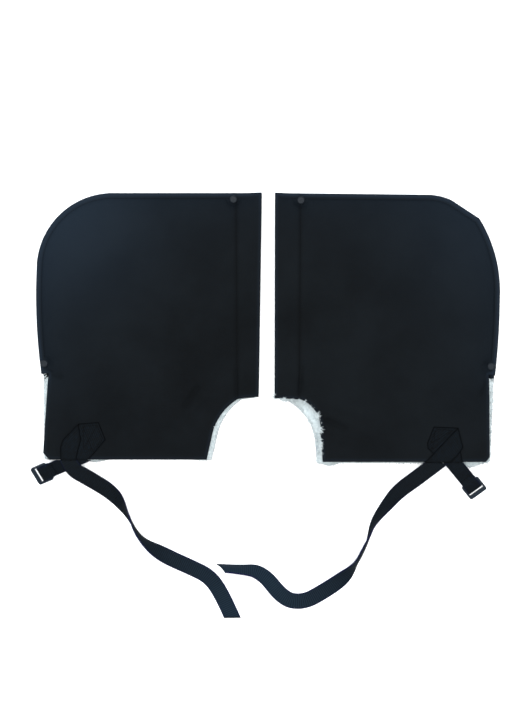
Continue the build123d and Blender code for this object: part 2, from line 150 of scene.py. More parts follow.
def gap_to(line: np.ndarray, spots: np.ndarray) -> np.ndarray:
    """How far each spot is from an open line of points.

    Args:
        line: The line's points in order.
        spots: The points to measure from.

    Returns:
        One distance a spot.
    """
    best = np.full(len(spots), 1e9)
    for a, b in zip(line[:-1], line[1:]):
        run = b - a
        share = np.clip((spots - a) @ run / max(run @ run, 1e-9), 0, 1)
        best = np.minimum(best, np.linalg.norm(spots - a - share[:, None] * run, axis=1))
    return best


def unit(rows: np.ndarray) -> np.ndarray:
    """The rows, each scaled to a length of 1."""
    return rows / np.linalg.norm(rows, axis=1)[:, None]


def run_of(line: np.ndarray) -> np.ndarray:
    """How far along a line each of its points is."""
    return np.concatenate([[0], np.cumsum(np.linalg.norm(np.diff(line, axis=0), axis=1))])


def round_pairs(ring: list) -> zip:
    """Each item of a closed ring with the one after it."""
    return zip(ring, ring[1:] + ring[:1])


def hump(values: np.ndarray, width: float) -> np.ndarray:
    """A bell curve of the values: 1 at zero, and faint past about twice the width."""
    return np.exp(-((values / width) ** 2))


def rolled_over(edge: np.ndarray, weight: np.ndarray | float) -> np.ndarray:
    """How strongly a highlight is painted on cloth where it rolls over, by its distance from its edge."""
    return np.exp(-(edge - 2.2) ** 2 / 3.0) * weight


def upright_frame(ahead: np.ndarray) -> tuple[np.ndarray, np.ndarray]:
    """A level unit vector across a direction, and the vector square to both."""
    across = np.cross(ahead, [0, 0, 1.0])
    across = across / np.linalg.norm(across)
    return across, np.cross(across, ahead)


def hoop(
    middle: np.ndarray, radius: float, turns: np.ndarray, across: np.ndarray, rise: np.ndarray
) -> np.ndarray:
    """Points of a circle.

    Args:
        middle: Its middle.
        radius: Its radius.
        turns: The angle of each point.
        across: Unit vector towards the angle 0.
        rise: Unit vector towards a quarter turn.

    Returns:
        The points, one a row.
    """
    return middle + radius * (np.outer(np.cos(turns), across) + np.outer(np.sin(turns), rise))


def tube_faces(start: int, rings: int, sides: int) -> list[tuple[int, ...]]:
    """Faces that join rings of points into a tube with both ends closed.

    Args:
        start: Number of the first ring's first point.
        rings: How many rings there are.
        sides: Points in each ring.

    Returns:
        The faces as point numbers.
    """
    faces: list[tuple[int, ...]] = []
    last = start + (rings - 1) * sides
    for base in range(start, last, sides):
        for i in range(sides):
            j = (i + 1) % sides
            faces.append((base + i, base + j, base + j + sides, base + i + sides))
    faces.append(tuple(start + i for i in reversed(range(sides))))
    faces.append(tuple(last + i for i in range(sides)))
    return faces


def closed(outline: np.ndarray) -> np.ndarray:
    """The outline with its first point again at its end."""
    return np.vstack([outline, outline[:1]])


def inside(outline: np.ndarray, spots: np.ndarray) -> np.ndarray:
    """Whether each spot is inside a closed outline."""
    result = np.zeros(len(spots), bool)
    x, y = spots[:, 0], spots[:, 1]
    for (ax, ay), (bx, by) in zip(outline, np.roll(outline, -1, axis=0)):
        crosses = (ay > y) != (by > y)
        if crosses.any():
            result ^= crosses & (x < (bx - ax) * (y - ay) / ((by - ay) or 1e-9) + ax)
    return result


def inward(outline: np.ndarray) -> np.ndarray:
    """Unit vectors into a closed outline, one at each of its points."""
    along = np.roll(outline, -1, axis=0) - np.roll(outline, 1, axis=0)
    normal = unit(np.column_stack([-along[:, 1], along[:, 0]]))
    x, y = outline[:, 0], outline[:, 1]
    area = np.sum(x * np.roll(y, -1) - y * np.roll(x, -1))
    return normal if area > 0 else -normal


def clipped(outline: np.ndarray, limit: float, side: int) -> np.ndarray:
    """The part of a closed outline that lies further out in X than a limit.

    Args:
        outline: Closed outline.
        limit: X of the cut.
        side: 1 keeps greater X than the limit, -1 keeps less.

    Returns:
        The remaining outline.
    """
    kept: list[np.ndarray] = []
    for here, after in zip(outline, np.roll(outline, -1, axis=0)):
        here_in = (here[0] - limit) * side >= 0
        after_in = (after[0] - limit) * side >= 0
        if here_in:
            kept.append(here)
        if here_in != after_in:
            share = (limit - here[0]) / (after[0] - here[0])
            kept.append(here + (after - here) * share)
    return np.vstack([straight(a, b, 2.5) for a, b in round_pairs(kept)])


def ripple(spots: np.ndarray, size: float, seed: float) -> np.ndarray:
    """Gentle random heights between about -1 and 1 that change over the given size."""
    return np.array([noise.noise(Vector((x / size, y / size, seed))) for x, y in spots])


# ---- meshes ---------------------------------------------------------------------------------
def make_object(name: str, points: np.ndarray, faces: Sequence[Sequence[int]]) -> bpy.types.Object:
    """Makes a smooth-shaded mesh object.

    Args:
        name: The piece's name.
        points: Its points in millimetres.
        faces: Its faces as point numbers.

    Returns:
        The new object, linked to the scene.
    """
    mesh = bpy.data.meshes.new(name)
    mesh.from_pydata([tuple(p) for p in np.asarray(points) * MM], [], [tuple(f) for f in faces])
    mesh.validate()
    mesh.polygons.foreach_set("use_smooth", [True] * len(mesh.polygons))
    piece = bpy.data.objects.new(name, mesh)
    bpy.context.scene.collection.objects.link(piece)
    return piece


def add_values(piece: bpy.types.Object, name: str, values: np.ndarray) -> None:
    """Stores one number, or one vector, for each of a piece's points.

    Args:
        piece: The mesh object.
        name: What its material calls the values.
        values: One number or three numbers a point.
    """
    kind = "FLOAT" if values.ndim == 1 else "FLOAT_VECTOR"
    layer = piece.data.attributes.new(name, kind, "POINT")
    layer.data.foreach_set("value" if values.ndim == 1 else "vector", values.astype(np.float32).ravel())


def add_tones(piece: bpy.types.Object, **tones: np.ndarray) -> None:
    """Stores cloth tones that are the same on a solid's upper and lower points."""
    for name, values in tones.items():
        add_values(piece, name, np.tile(values, 2))


@dataclass
class Blank:
    """A flat cut of cloth, filled with triangles whose points follow its edges and its seams."""

    outline: np.ndarray
    rows: Sequence[float] = (0.4, 1.0, 1.9, 3.1, 4.4, 5.5, 6.3, 7.0, 7.7, 8.7, 10.4, 12.8)
    spacing: float = 3.2
    seams: Sequence[np.ndarray] = ()
    seam_rows: Sequence[float] = (-2.2, -1.1, -0.4, 0.4, 1.1, 2.2)
    spots: np.ndarray = field(init=False)
    triangles: list[tuple[int, int, int]] = field(init=False)
    border: list[int] = field(init=False)

    def __post_init__(self) -> None:
        """Places the points and joins them up."""
        edge = closed(self.outline)
        normals = inward(self.outline)
        sets = [self.outline]
        for row in self.rows:
            ring = self.outline + normals * row
            sets.append(ring[(gap_to(edge, ring) > row * 0.93) & inside(self.outline, ring)])
        seam_points = []
        for seam in self.seams:
            along = np.gradient(seam, axis=0)
            across = unit(np.column_stack([-along[:, 1], along[:, 0]]))
            for row in self.seam_rows:
                line = seam + across * row
                seam_points.append(line[inside(self.outline, line) & (gap_to(edge, line) > 2.0)])
        sets.append(self._grid(edge))
        spots = np.vstack(sets + seam_points)
        count = len(self.outline)
        edges = [(i, (i + 1) % count) for i in range(count)]
        made = delaunay_2d_cdt([Vector(p) for p in spots], edges, [], 1, 1e-6)
        self.spots = np.array([tuple(p) for p in made[0]])
        self.triangles = [self._upward(tuple(f)) for f in made[2] if len(f) == 3]
        home = {old: new for new, olds in enumerate(made[3]) for old in olds}
        self.border = [home[i] for i in range(count)]

    def _grid(self, edge: np.ndarray) -> np.ndarray:
        """The even grid of points away from the edges and seams, nudged off its lines."""
        low, high = self.outline.min(0), self.outline.max(0)
        xs = np.arange(low[0], high[0], self.spacing)
        ys = np.arange(low[1], high[1], self.spacing * 0.87)
        grid = np.array([(x + (j % 2) * self.spacing / 2, y) for j, y in enumerate(ys) for x in xs])
        grid = grid[inside(self.outline, grid)]
        clear = (self.rows[-1] if len(self.rows) else 0) + self.spacing * 0.5
        grid = grid[gap_to(edge, grid) > clear]
        for seam in self.seams:
            grid = grid[gap_to(seam, grid) > abs(self.seam_rows[0]) + self.spacing * 0.4]
        return grid

    def _upward(self, face: tuple[int, int, int]) -> tuple[int, int, int]:
        """The triangle turned so that it faces up."""
        a, b, c = (self.spots[i] for i in face)
        turn = (b[0] - a[0]) * (c[1] - a[1]) - (b[1] - a[1]) * (c[0] - a[0])
        return face if turn > 0 else face[::-1]

    def solid(self, name: str, top: np.ndarray, bottom: np.ndarray) -> bpy.types.Object:
        """Makes a closed piece between two heights.

        Args:
            name: The piece's name.
            top: Upper height at each spot.
            bottom: Lower height at each spot.

        Returns:
            The new mesh object.
        """
        count = len(self.spots)
        points = np.vstack([np.column_stack([self.spots, top]), np.column_stack([self.spots, bottom])])
        faces = list(self.triangles)
        faces += [tuple(i + count for i in reversed(f)) for f in self.triangles]
        ring = self.border
        x, y = self.spots[ring].T
        forward = np.sum(x * np.roll(y, -1) - y * np.roll(x, -1)) > 0
        for a, b in round_pairs(ring):
            side = (a, a + count, b + count, b)
            faces.append(side if forward else side[::-1])
        return make_object(name, points, faces)


# ---- finishes -------------------------------------------------------------------------------
class Bench:
    """Builds one node material step by step."""

    def __init__(self, name: str) -> None:
        """Starts a material with a plain surface shader."""
        self.material = bpy.data.materials.new(name)
        self.material.use_nodes = True
        self.nodes = self.material.node_tree.nodes
        self.links = self.material.node_tree.links
        self.surface = self.nodes["Principled BSDF"]

    def add(
        self, kind: str, inputs: dict[str | int, object] | None = None, **settings: object
    ) -> bpy.types.Node:
        """Adds a node.

        Args:
            kind: The node's type name without its ShaderNode prefix.
            inputs: Values, or sockets to link from, by input name or number.
            settings: The node's own properties.

        Returns:
            The new node.
        """
        node = self.nodes.new("ShaderNode" + kind)
        for key, value in settings.items():
            setattr(node, key, value)
        for key, value in (inputs or {}).items():
            self.feed(node.inputs[key], value)
        return node

    def feed(self, socket: bpy.types.NodeSocket, value: object) -> None:
        """Links a socket to another, or sets its value."""
        if isinstance(value, bpy.types.NodeSocket):
            self.links.new(value, socket)
        else:
            socket.default_value = value

    def set(self, **inputs: object) -> None:
        """Sets or links the surface shader's inputs, with underscores for spaces."""
        for key, value in inputs.items():
            name = key.replace("_", " ")
            if isinstance(value, tuple) and len(value) == 3 and name != "Normal":
                value = (*value, 1.0)
            self.feed(self.surface.inputs[name], value)

    def lay(self) -> bpy.types.NodeSocket:
        """Places on the object in metres, in the frame's axes at rest."""
        return self.add("TexCoord").outputs["Object"]

    def stored(self, name: str, vector: bool = False) -> bpy.types.NodeSocket:
        """A value that the mesh carries."""
        return self.add("Attribute", attribute_name=name).outputs["Vector" if vector else "Fac"]

    def cloudy(self, size: float, detail: float = 3.0) -> bpy.types.NodeSocket:
        """Soft random tone from 0 to 1 that changes over the given size in metres."""
        inputs = {"Vector": self.lay(), "Scale": 1 / size, "Detail": detail, "Roughness": 0.55}
        return self.add("TexNoise", inputs).outputs["Fac"]

    def sum(self, kind: str, a: object, b: object) -> bpy.types.NodeSocket:
        """The result of one sum of two numbers or sockets."""
        return self.add("Math", {0: a, 1: b}, operation=kind).outputs[0]

    def between(self, share: object, low: Colour, high: Colour) -> bpy.types.NodeSocket:
        """A colour between two, by a share from 0 to 1."""
        node = self.add("Mix", data_type="RGBA")
        self.feed(node.inputs["Factor"], share)
        for name, colour in (("A", low), ("B", high)):
            socket = next(s for s in node.inputs if s.name == name and s.type == "RGBA")
            self.feed(socket, colour if isinstance(colour, bpy.types.NodeSocket) else (*colour, 1.0))
        return next(s for s in node.outputs if s.type == "RGBA")

    def span(
        self, value: object, low: float, high: float, out_low: float = 0.0, out_high: float = 1.0
    ) -> bpy.types.NodeSocket:
        """A number moved from one range to another, and kept within it."""
        inputs = {"Value": value, "From Min": low, "From Max": high, "To Min": out_low, "To Max": out_high}
        return self.add("MapRange", inputs).outputs["Result"]

    def wave(self, value: bpy.types.NodeSocket, pitch: float) -> bpy.types.NodeSocket:
        """A sine of a length in metres, once every pitch, from -1 to 1."""
        return self.sum("SINE", self.sum("MULTIPLY", value, math.tau / pitch), 0.0)

    def relief(self, height: bpy.types.NodeSocket, depth: float, strength: float) -> None:
        """Gives the surface fine relief of the given depth in metres."""
        bump = self.add("Bump", {"Height": height, "Distance": depth, "Strength": strength})
        self.links.new(bump.outputs["Normal"], self.surface.inputs["Normal"])

    def parts(self, vector: bpy.types.NodeSocket) -> Sequence[bpy.types.NodeSocket]:
        """The X, Y and Z of a vector."""
        return self.add("SeparateXYZ", {0: vector}).outputs


@dataclass(frozen=True)
class ShellCloth:
    """Black woven outer cloth: a fine plain weave with a soft sheen, with painted highlights where it rolls
    over, round the outer corner and along the rim, and painted shade along the hem's seam and in the creases.
    """

    deep: Colour = (0.0012, 0.0016, 0.0020)
    worn: Colour = (0.0031, 0.0042, 0.0052)
    # Colour of the painted highlight along the rolled-over edges.
    rim: Colour = (0.0090, 0.0140, 0.0220)
    faded: Colour = (0.0084, 0.0138, 0.0212)
    dull: Colour = (0.0003, 0.0004, 0.0005)
    sheen_tint: Colour = (0.55, 0.68, 0.85)
    thread_pitch: float = 0.0007
    slub_size: float = 0.004
    patch_size: float = 0.075
    weave_depth: float = 0.00016

    def make(self) -> bpy.types.Material:
        """Builds the material."""
        bench = Bench("woven_shell_cloth")
        x, y, _ = bench.parts(bench.lay())
        warp, weft = bench.wave(x, self.thread_pitch), bench.wave(y, self.thread_pitch)
        weave = bench.sum("MULTIPLY", warp, weft)
        slub = bench.cloudy(self.slub_size, 2.0)
        broad = bench.cloudy(self.patch_size, 4.0)
        tone = bench.sum("ADD", bench.span(broad, 0.3, 0.7, 0.0, 0.7), bench.span(slub, 0.3, 0.7, 0.0, 0.3))
        colour = bench.between(tone, self.deep, self.worn)
        # Painted highlight: the bluish light that falls on the slopes round the outer corner and along the
        # rim.
        colour = bench.between(bench.stored("faded"), colour, self.faded)
        # Painted highlight along the rolled-over edges, in the rim colour.
        colour = bench.between(bench.sum("MULTIPLY", bench.stored("rolled"), 0.75), colour, self.rim)
        # Painted shade: darkens the cloth along the hem's seam and down in the creases.
        clear = bench.sum("SUBTRACT", 1.0, bench.stored("dulled"))
        colour = bench.between(clear, self.dull, colour)
        bench.set(Base_Color=colour, Specular_IOR_Level=0.03, Sheen_Weight=0.010, Sheen_Roughness=0.45)
        bench.set(Sheen_Tint=self.sheen_tint, Roughness=bench.span(slub, 0.2, 0.8, 0.62, 0.80))
        height = bench.sum("ADD", bench.span(weave, -1, 1, 0, 0.6), bench.span(slub, 0.2, 0.8, 0, 0.4))
        bench.relief(height, self.weave_depth, 0.6)
        return bench.material


@dataclass(frozen=True)
class Fleece:
    """White fleece: short curled pile, with painted shade making it greyer down between its tufts."""

    tip: Colour = (0.42, 0.465, 0.47)
    root: Colour = (0.22, 0.26, 0.27)
    curl: float = 0.0032
    patch_size: float = 0.02
    pile_depth: float = 0.0011

    def make(self) -> bpy.types.Material:
        """Builds the material."""
        bench = Bench("fleece_pile")
        curls = bench.cloudy(self.curl, 5.0)
        patches = bench.span(bench.cloudy(self.patch_size, 2.0), 0.3, 0.7, 0, 0.25)
        share = bench.sum("ADD", bench.span(curls, 0.3, 0.65, 0, 0.75), patches)
        # Painted shade: the root colour darkens the pile down between the curls.
        bench.set(Base_Color=bench.between(share, self.root, self.tip), Roughness=0.95)
        bench.set(Specular_IOR_Level=0.1, Sheen_Weight=0.35, Sheen_Roughness=0.6)
        bench.relief(curls, self.pile_depth, 0.8)
        return bench.material


@dataclass(frozen=True)
class Webbing:
    """Woven tape: close ribs across it, two cords down each edge and a bluer cast to its far end, which is
    partly a painted reflection.
    """

    near: Colour = (0.0032, 0.0038, 0.0043)
    far: Colour = (0.0074, 0.0144, 0.0230)
    selvedge: Colour = (0.0034, 0.0040, 0.0240)
    shadow: Colour = (0.0002, 0.0003, 0.0004)
    rib_pitch: float = 0.0025
    cord_pitch: float = 0.0021
    twill_pitch: float = 0.0026
    fuzz_size: float = 0.0016
    rib_depth: float = 0.00032
    width: float = 0.020
    reach: float = 0.30

    def make(self) -> bpy.types.Material:
        """Builds the material."""
        bench = Bench("webbing_tape")
        along, across, rim = bench.parts(bench.stored("tape", vector=True))
        ribs = bench.wave(along, self.rib_pitch)
        cords = bench.wave(across, self.cord_pitch)
        breadth = bench.sum("ABSOLUTE", across, 0.0)
        twill = bench.wave(bench.sum("ADD", along, breadth), self.twill_pitch)
        fuzz = bench.cloudy(self.fuzz_size, 3.0)
        # The bluer cast towards the far end is partly a painted reflection of the lights; the same colour
        # also tints the fuzz.
        cast = bench.span(along, 0.05, self.reach)
        colour = bench.between(bench.sum("POWER", cast, 1.5), self.near, self.far)
        colour = bench.between(bench.span(ribs, -0.95, 0.2, 0.8, 0.0), colour, self.shadow)
        dust_and_shade = bench.between(bench.span(fuzz, 0.35, 0.75, 0.0, 0.3), colour, self.far)
        # Painted shade, in the shadow colour, along the edges of the fold's layers.
        dust_and_shade = bench.between(rim, dust_and_shade, self.shadow)
        edge = bench.span(breadth, self.width * 0.43, self.width * 0.465)
        run = bench.span(along, 0.05, 0.12, 0.25, 1.0)
        bench.set(Base_Color=bench.between(bench.sum("MULTIPLY", edge, run), dust_and_shade, self.selvedge))
        bench.set(Roughness=bench.span(fuzz, 0.2, 0.8, 0.55, 0.78), Specular_IOR_Level=0.018)
        height = bench.sum("ADD", bench.span(ribs, -1, 1, 0, 0.5), bench.span(cords, -1, 1, 0, 0.25))
        height = bench.sum("ADD", height, bench.span(twill, -1, 1, 0, 0.25))
        bench.relief(height, self.rib_depth, 0.8)
        return bench.material


@dataclass(frozen=True)
class SewingThread:
    """Black twisted thread."""

    deep: Colour = (0.0002, 0.0003, 0.0004)
    light: Colour = (0.0010, 0.0013, 0.0017)

    def make(self) -> bpy.types.Material:
        """Builds the material."""
        bench = Bench("sewing_thread")
        x, y, _ = bench.parts(bench.lay())
        twist = bench.wave(bench.sum("ADD", x, y), 0.0006)
        bench.set(Base_Color=bench.between(bench.span(twist, -1, 1), self.deep, self.light))
        bench.set(Roughness=0.6, Specular_IOR_Level=0.06)
        bench.relief(twist, 0.00008, 0.6)
        return bench.material


@dataclass(frozen=True)
class BuckleMoulding:
    """Black plastic with the faint waviness and scuffs of a moulding."""

    base: Colour = (0.0060, 0.0100, 0.0150)
    scuff: Colour = (0.0120, 0.0190, 0.0270)

    def make(self) -> bpy.types.Material:
        """Builds the material."""
        bench = Bench("buckle_moulding")
        flow = bench.cloudy(0.006, 2.0)
        fine = bench.cloudy(0.0008, 4.0)
        scuffed = bench.sum("MULTIPLY", bench.span(fine, 0.55, 0.75), bench.span(flow, 0.4, 0.7))
        bench.set(Base_Color=bench.between(scuffed, self.base, self.scuff), Specular_IOR_Level=0.08)
        bench.set(Roughness=bench.span(flow, 0.3, 0.7, 0.32, 0.46), Coat_Weight=0.01, Coat_Roughness=0.3)
        bench.relief(bench.sum("ADD", flow, bench.sum("MULTIPLY", fine, 0.15)), 0.00012, 0.5)
        return bench.material


@dataclass(frozen=True)
class RivetEnamel:
    """Black enamelled metal, rubbed to bare metal in specks."""

    enamel: Colour = (0.0048, 0.0070, 0.0096)
    bare: Colour = (0.020, 0.026, 0.033)

    def make(self) -> bpy.types.Material:
        """Builds the material."""
        bench = Bench("rivet_enamel")
        specks = bench.cloudy(0.0007, 5.0)
        wear = bench.span(specks, 0.62, 0.74)
        bench.set(Base_Color=bench.between(wear, self.enamel, self.bare))
        bench.set(Metallic=bench.span(wear, 0, 1, 0.0, 0.35), Specular_IOR_Level=0.09)
        bench.set(Roughness=bench.span(bench.cloudy(0.002, 3.0), 0.3, 0.7, 0.46, 0.62))
        bench.relief(specks, 0.00005, 0.5)
        return bench.material


@dataclass(frozen=True)
class PaleTable:
    """The matt white table top."""

    tone: Colour = (0.90, 0.90, 0.90)
    shade: Colour = (0.87, 0.875, 0.88)

    def make(self) -> bpy.types.Material:
        """Builds the material."""
        bench = Bench("pale_table")
        bench.set(Base_Color=bench.between(bench.cloudy(0.35), self.shade, self.tone), Roughness=0.9)
        bench.set(Specular_IOR_Level=0.1)
        return bench.material


@dataclass
class Finishes:
    """Every finish of the pair, each made once."""

    cloth: bpy.types.Material
    fleece: bpy.types.Material
    webbing: bpy.types.Material
    thread: bpy.types.Material
    plastic: bpy.types.Material
    metal: bpy.types.Material
    table: bpy.types.Material

    @classmethod
    def make(cls) -> Finishes:
        """Builds all the materials."""
        return cls(
            cloth=ShellCloth().make(),
            fleece=Fleece().make(),
            webbing=Webbing().make(),
            thread=SewingThread().make(),
            plastic=BuckleMoulding().make(),
            metal=RivetEnamel().make(),
            table=PaleTable().make(),
        )


def dress(piece: bpy.types.Object, material: bpy.types.Material) -> bpy.types.Object:
    """Gives a piece its material.

    Args:
        piece: The mesh object.
        material: Its finish.

    Returns:
        The same piece.
    """
    piece.data.materials.clear()
    piece.data.materials.append(material)
    return piece


# ---- patterns -------------------------------------------------------------------------------
@dataclass(frozen=True)
class Levels:
    """Heights of the lying muffs, in millimetres."""

    shell: float = 1.0
    back_top: float = 7.0
    front_pile: float = 12.0
    front_shell: float = 18.0
    top: float = 19.0
    seam: float = 8.0
    edge_top: float = 10.0
    webbing: float = 1.3


LEVELS = Levels()


@dataclass(frozen=True)
class CutOut:
    """The hollow at the foot of the inner edge, in (past, up) places from the edge's foot and the hem."""

    foot: float
    knee: Spot
    middle: Spot
    end: Spot
    height: float


@dataclass(frozen=True)
class Crease:
    """A soft fold in the cloth, between two table places, raised where its rise is above zero."""

    start: Spot
    end: Spot
    rise: float
    width: float


@dataclass(frozen=True)
class StrapPattern:
    """A muff's webbing, in (in, up) places from the outer side line and the left hem."""

    under: Sequence[Spot]
    over: Sequence[Spot]
    box: Sequence[Spot]
    cross: Sequence[tuple[Spot, Spot]]
    leg_in: float
    leg_angle: float
    leg_length: float
    droop: float
    route: Sequence[Place]
    roll: Sequence[float]
    end_slant: float


@dataclass(frozen=True)
class MuffPattern:
    """One muff's cut, in millimetres: 'in' from its outer side line, 'drop' from its top edge."""

    side: Side
    inner_top: float
    inner_foot: float
    top_sag: float
    shoulder_in: float
    corner: Sequence[Spot]
    hip_drop: float
    flank: Spot
    seam_end: Spot
    slit_top_in: float
    slit_foot: Spot
    hem_corner: Spot
    hem_up: float
    front_cut: CutOut
    back_slit_in: Spot
    back_hem_up: float
    back_cut: CutOut
    rivets: tuple[Spot, Spot]
    creases: Sequence[Crease]
    strap: StrapPattern
    frays: Sequence[Place]
    bloom: float
    ragged: float
    seed: int
    outer: float = 295.0
    top_y: float = 174.0
    hem_y: float = -165.0
    hem_width: float = 33.0
    snip: float = 2.6
    hinge_offset: float = 7.0

    def place(self, inward_by: float, drop: float) -> Spot:
        """The table place at a distance in from the outer side and down from the top edge."""
        return (self.side.value * (self.outer - inward_by), self.top_y - drop)

    def foot_place(self, inward_by: float, up: float) -> Spot:
        """The table place at a distance in from the outer side and up from the hem."""
        return (self.side.value * (self.outer - inward_by), self.hem_y + up)

    def cut_place(self, past: float, up: float) -> Spot:
        """The table place past the inner edge's foot and up from the hem."""
        return (self.side.value * (self.inner_foot + past), self.hem_y + up)

    def fold(self) -> tuple[np.ndarray, np.ndarray]:
        """The lifting flap's fold line.

        Returns:
            A point on it and the unit vector across it towards the flap.
        """
        top, low = (np.array(self.place(*rivet)) for rivet in self.rivets)
        along = (low - top) / np.linalg.norm(low - top)
        towards = np.array([-along[1], along[0]]) * -self.side.value
        return top + towards * self.hinge_offset, towards

    def past_fold(self, spots: np.ndarray) -> np.ndarray:
        """How far each spot is past the fold line, towards the flap."""
        point, towards = self.fold()
        return (spots - point) @ towards

    def border(self) -> np.ndarray:
        """The sewn border from the inner top corner to the seam's end."""
        shoulder = self.place(self.shoulder_in, self.top_sag)
        hip = self.place(0, self.hip_drop)
        end = self.place(*self.seam_end)
        runs = [straight((self.side.value * self.inner_top, self.top_y), shoulder)]
        spots = [self.place(*spot) for spot in self.corner]
        if len(spots) == 1:
            runs.append(bent(shoulder, spots[0], hip))
        else:
            runs.append(bent(shoulder, spots[0], spots[1]))
            runs.append(straight(spots[1], spots[2]))
            runs.append(bent(spots[2], spots[3], hip))
        runs.append(bent(hip, self.place(*self.flank), end))
        return np.vstack(runs)

    def outline(self, slit: tuple[Spot, Spot], hem_up: float, hem_corner: Spot, cut: CutOut) -> np.ndarray:
        """A panel's closed outline.

        Args:
            slit: Top and foot of its outer side below the seam.
            hem_up: Its hem, up from the left hem.
            hem_corner: Where the hem starts, at the outer side.
            cut: Its cut-out.

        Returns:
            The outline's points, from the inner top corner round by the outer side.
        """
        foot = self.cut_place(cut.foot, hem_up)
        knee, middle, end = (self.cut_place(*p) for p in (cut.knee, cut.middle, cut.end))
        inner_foot = self.cut_place(0, cut.height)
        start = (self.side.value * self.inner_top, self.top_y)
        corners = [self.place(*self.seam_end), *slit, hem_corner, foot, knee]
        runs = [self.border()]
        runs += [straight(a, b) for a, b in zip(corners, corners[1:])]
        runs.append(bent(knee, middle, end, 1.6))
        runs += [straight(end, inner_foot), straight(inner_foot, start)]
        return np.vstack(runs)

    def front(self) -> np.ndarray:
        """The front panel's outline."""
        slit = (self.place(self.slit_top_in, self.seam_end[1]), self.foot_place(*self.slit_foot))
        return self.outline(slit, self.hem_up, self.foot_place(*self.hem_corner), self.front_cut)

    def back(self) -> np.ndarray:
        """The back panel's outline."""
        top, foot = self.back_slit_in
        slit = (
            self.place(top, self.seam_end[1] + LEVELS.shell),
            self.foot_place(foot, self.back_hem_up + self.snip),
        )
        corner = self.foot_place(foot + self.snip, self.back_hem_up)
        outline = self.outline(slit, self.back_hem_up, corner, self.back_cut)
        hem = np.abs(outline[:, 1] - self.hem_y - self.back_hem_up) < 0.01
        for x, depth, width in self.frays:
            outline[hem, 1] -= depth * hump(outline[hem, 0] - x, width)
        return outline

    def sewn_line(self) -> np.ndarray:
        """The part of the border that is sewn, which ends just past the rivets."""
        border = self.border()
        return border[self.past_fold(border) < 1.0]

    def seam_inset(self, amount: float) -> np.ndarray:
        """A line that runs inside the sewn border at the given distance."""
        whole = self.front()
        line = whole + inward(whole) * amount
        near = gap_to(self.sewn_line(), whole) < 0.5
        return line[near & (self.past_fold(line) < 0)]

    def hem_seam(self) -> np.ndarray:
        """The hem's seam, from the top edge down to the cut-out."""
        x = self.side.value * (min(self.inner_top, self.inner_foot) + self.hem_width)
        lean = -self.side.value * 1.6
        low = self.hem_y + self.front_cut.height - 6.0
        return straight((x, self.top_y - 6.0), (x + lean, low), 3.0)

    def fading(self, spots: np.ndarray) -> np.ndarray:
        """How strongly a highlight is painted on the cloth at each spot: most round the outer corner, a
        little along the rim.
        """
        corner = np.linalg.norm(spots - np.array(self.place(36.0, 36.0)), axis=1)
        rim = np.exp(-gap_to(self.sewn_line(), spots) / 40.0)
        return np.clip(self.bloom * hump(corner, 105.0) + 0.22 * rim, 0, 1)

    def shade_amount(self, spots: np.ndarray) -> np.ndarray:
        """How much painted shade darkens the cloth at each spot: along the hem's seam and down in the
        creases.
        """
        dull = 0.34 * hump(self.past_hem(spots), 2.8)
        for crease in self.creases:
            if crease.rise < 0:
                line = straight(crease.start, crease.end, 1.5)
                dull = np.maximum(dull, 0.3 * np.exp(-((gap_to(line, spots) / crease.width * 1.2) ** 2)))
        return dull

    def past_hem(self, spots: np.ndarray) -> np.ndarray:
        """How far each spot is past the hem's seam, away from the inner edge."""
        seam = self.hem_seam()
        x_seam = np.interp(spots[:, 1], seam[::-1, 1], seam[::-1, 0])
        return (spots[:, 0] - x_seam) * self.side.value

    def strap_exit(self) -> np.ndarray:
        """Middle of the webbing where it crosses the hem."""
        leg = np.array(self.foot_place(self.strap.leg_in, self.hem_up))
        return (leg + np.array(self.strap.route[0][:2])) / 2

    def strap_rest(self) -> np.ndarray:
        """Middle of the webbing's fold, where the panel is pressed flat."""
        return np.mean([self.foot_place(*p) for p in self.strap.under], axis=0)


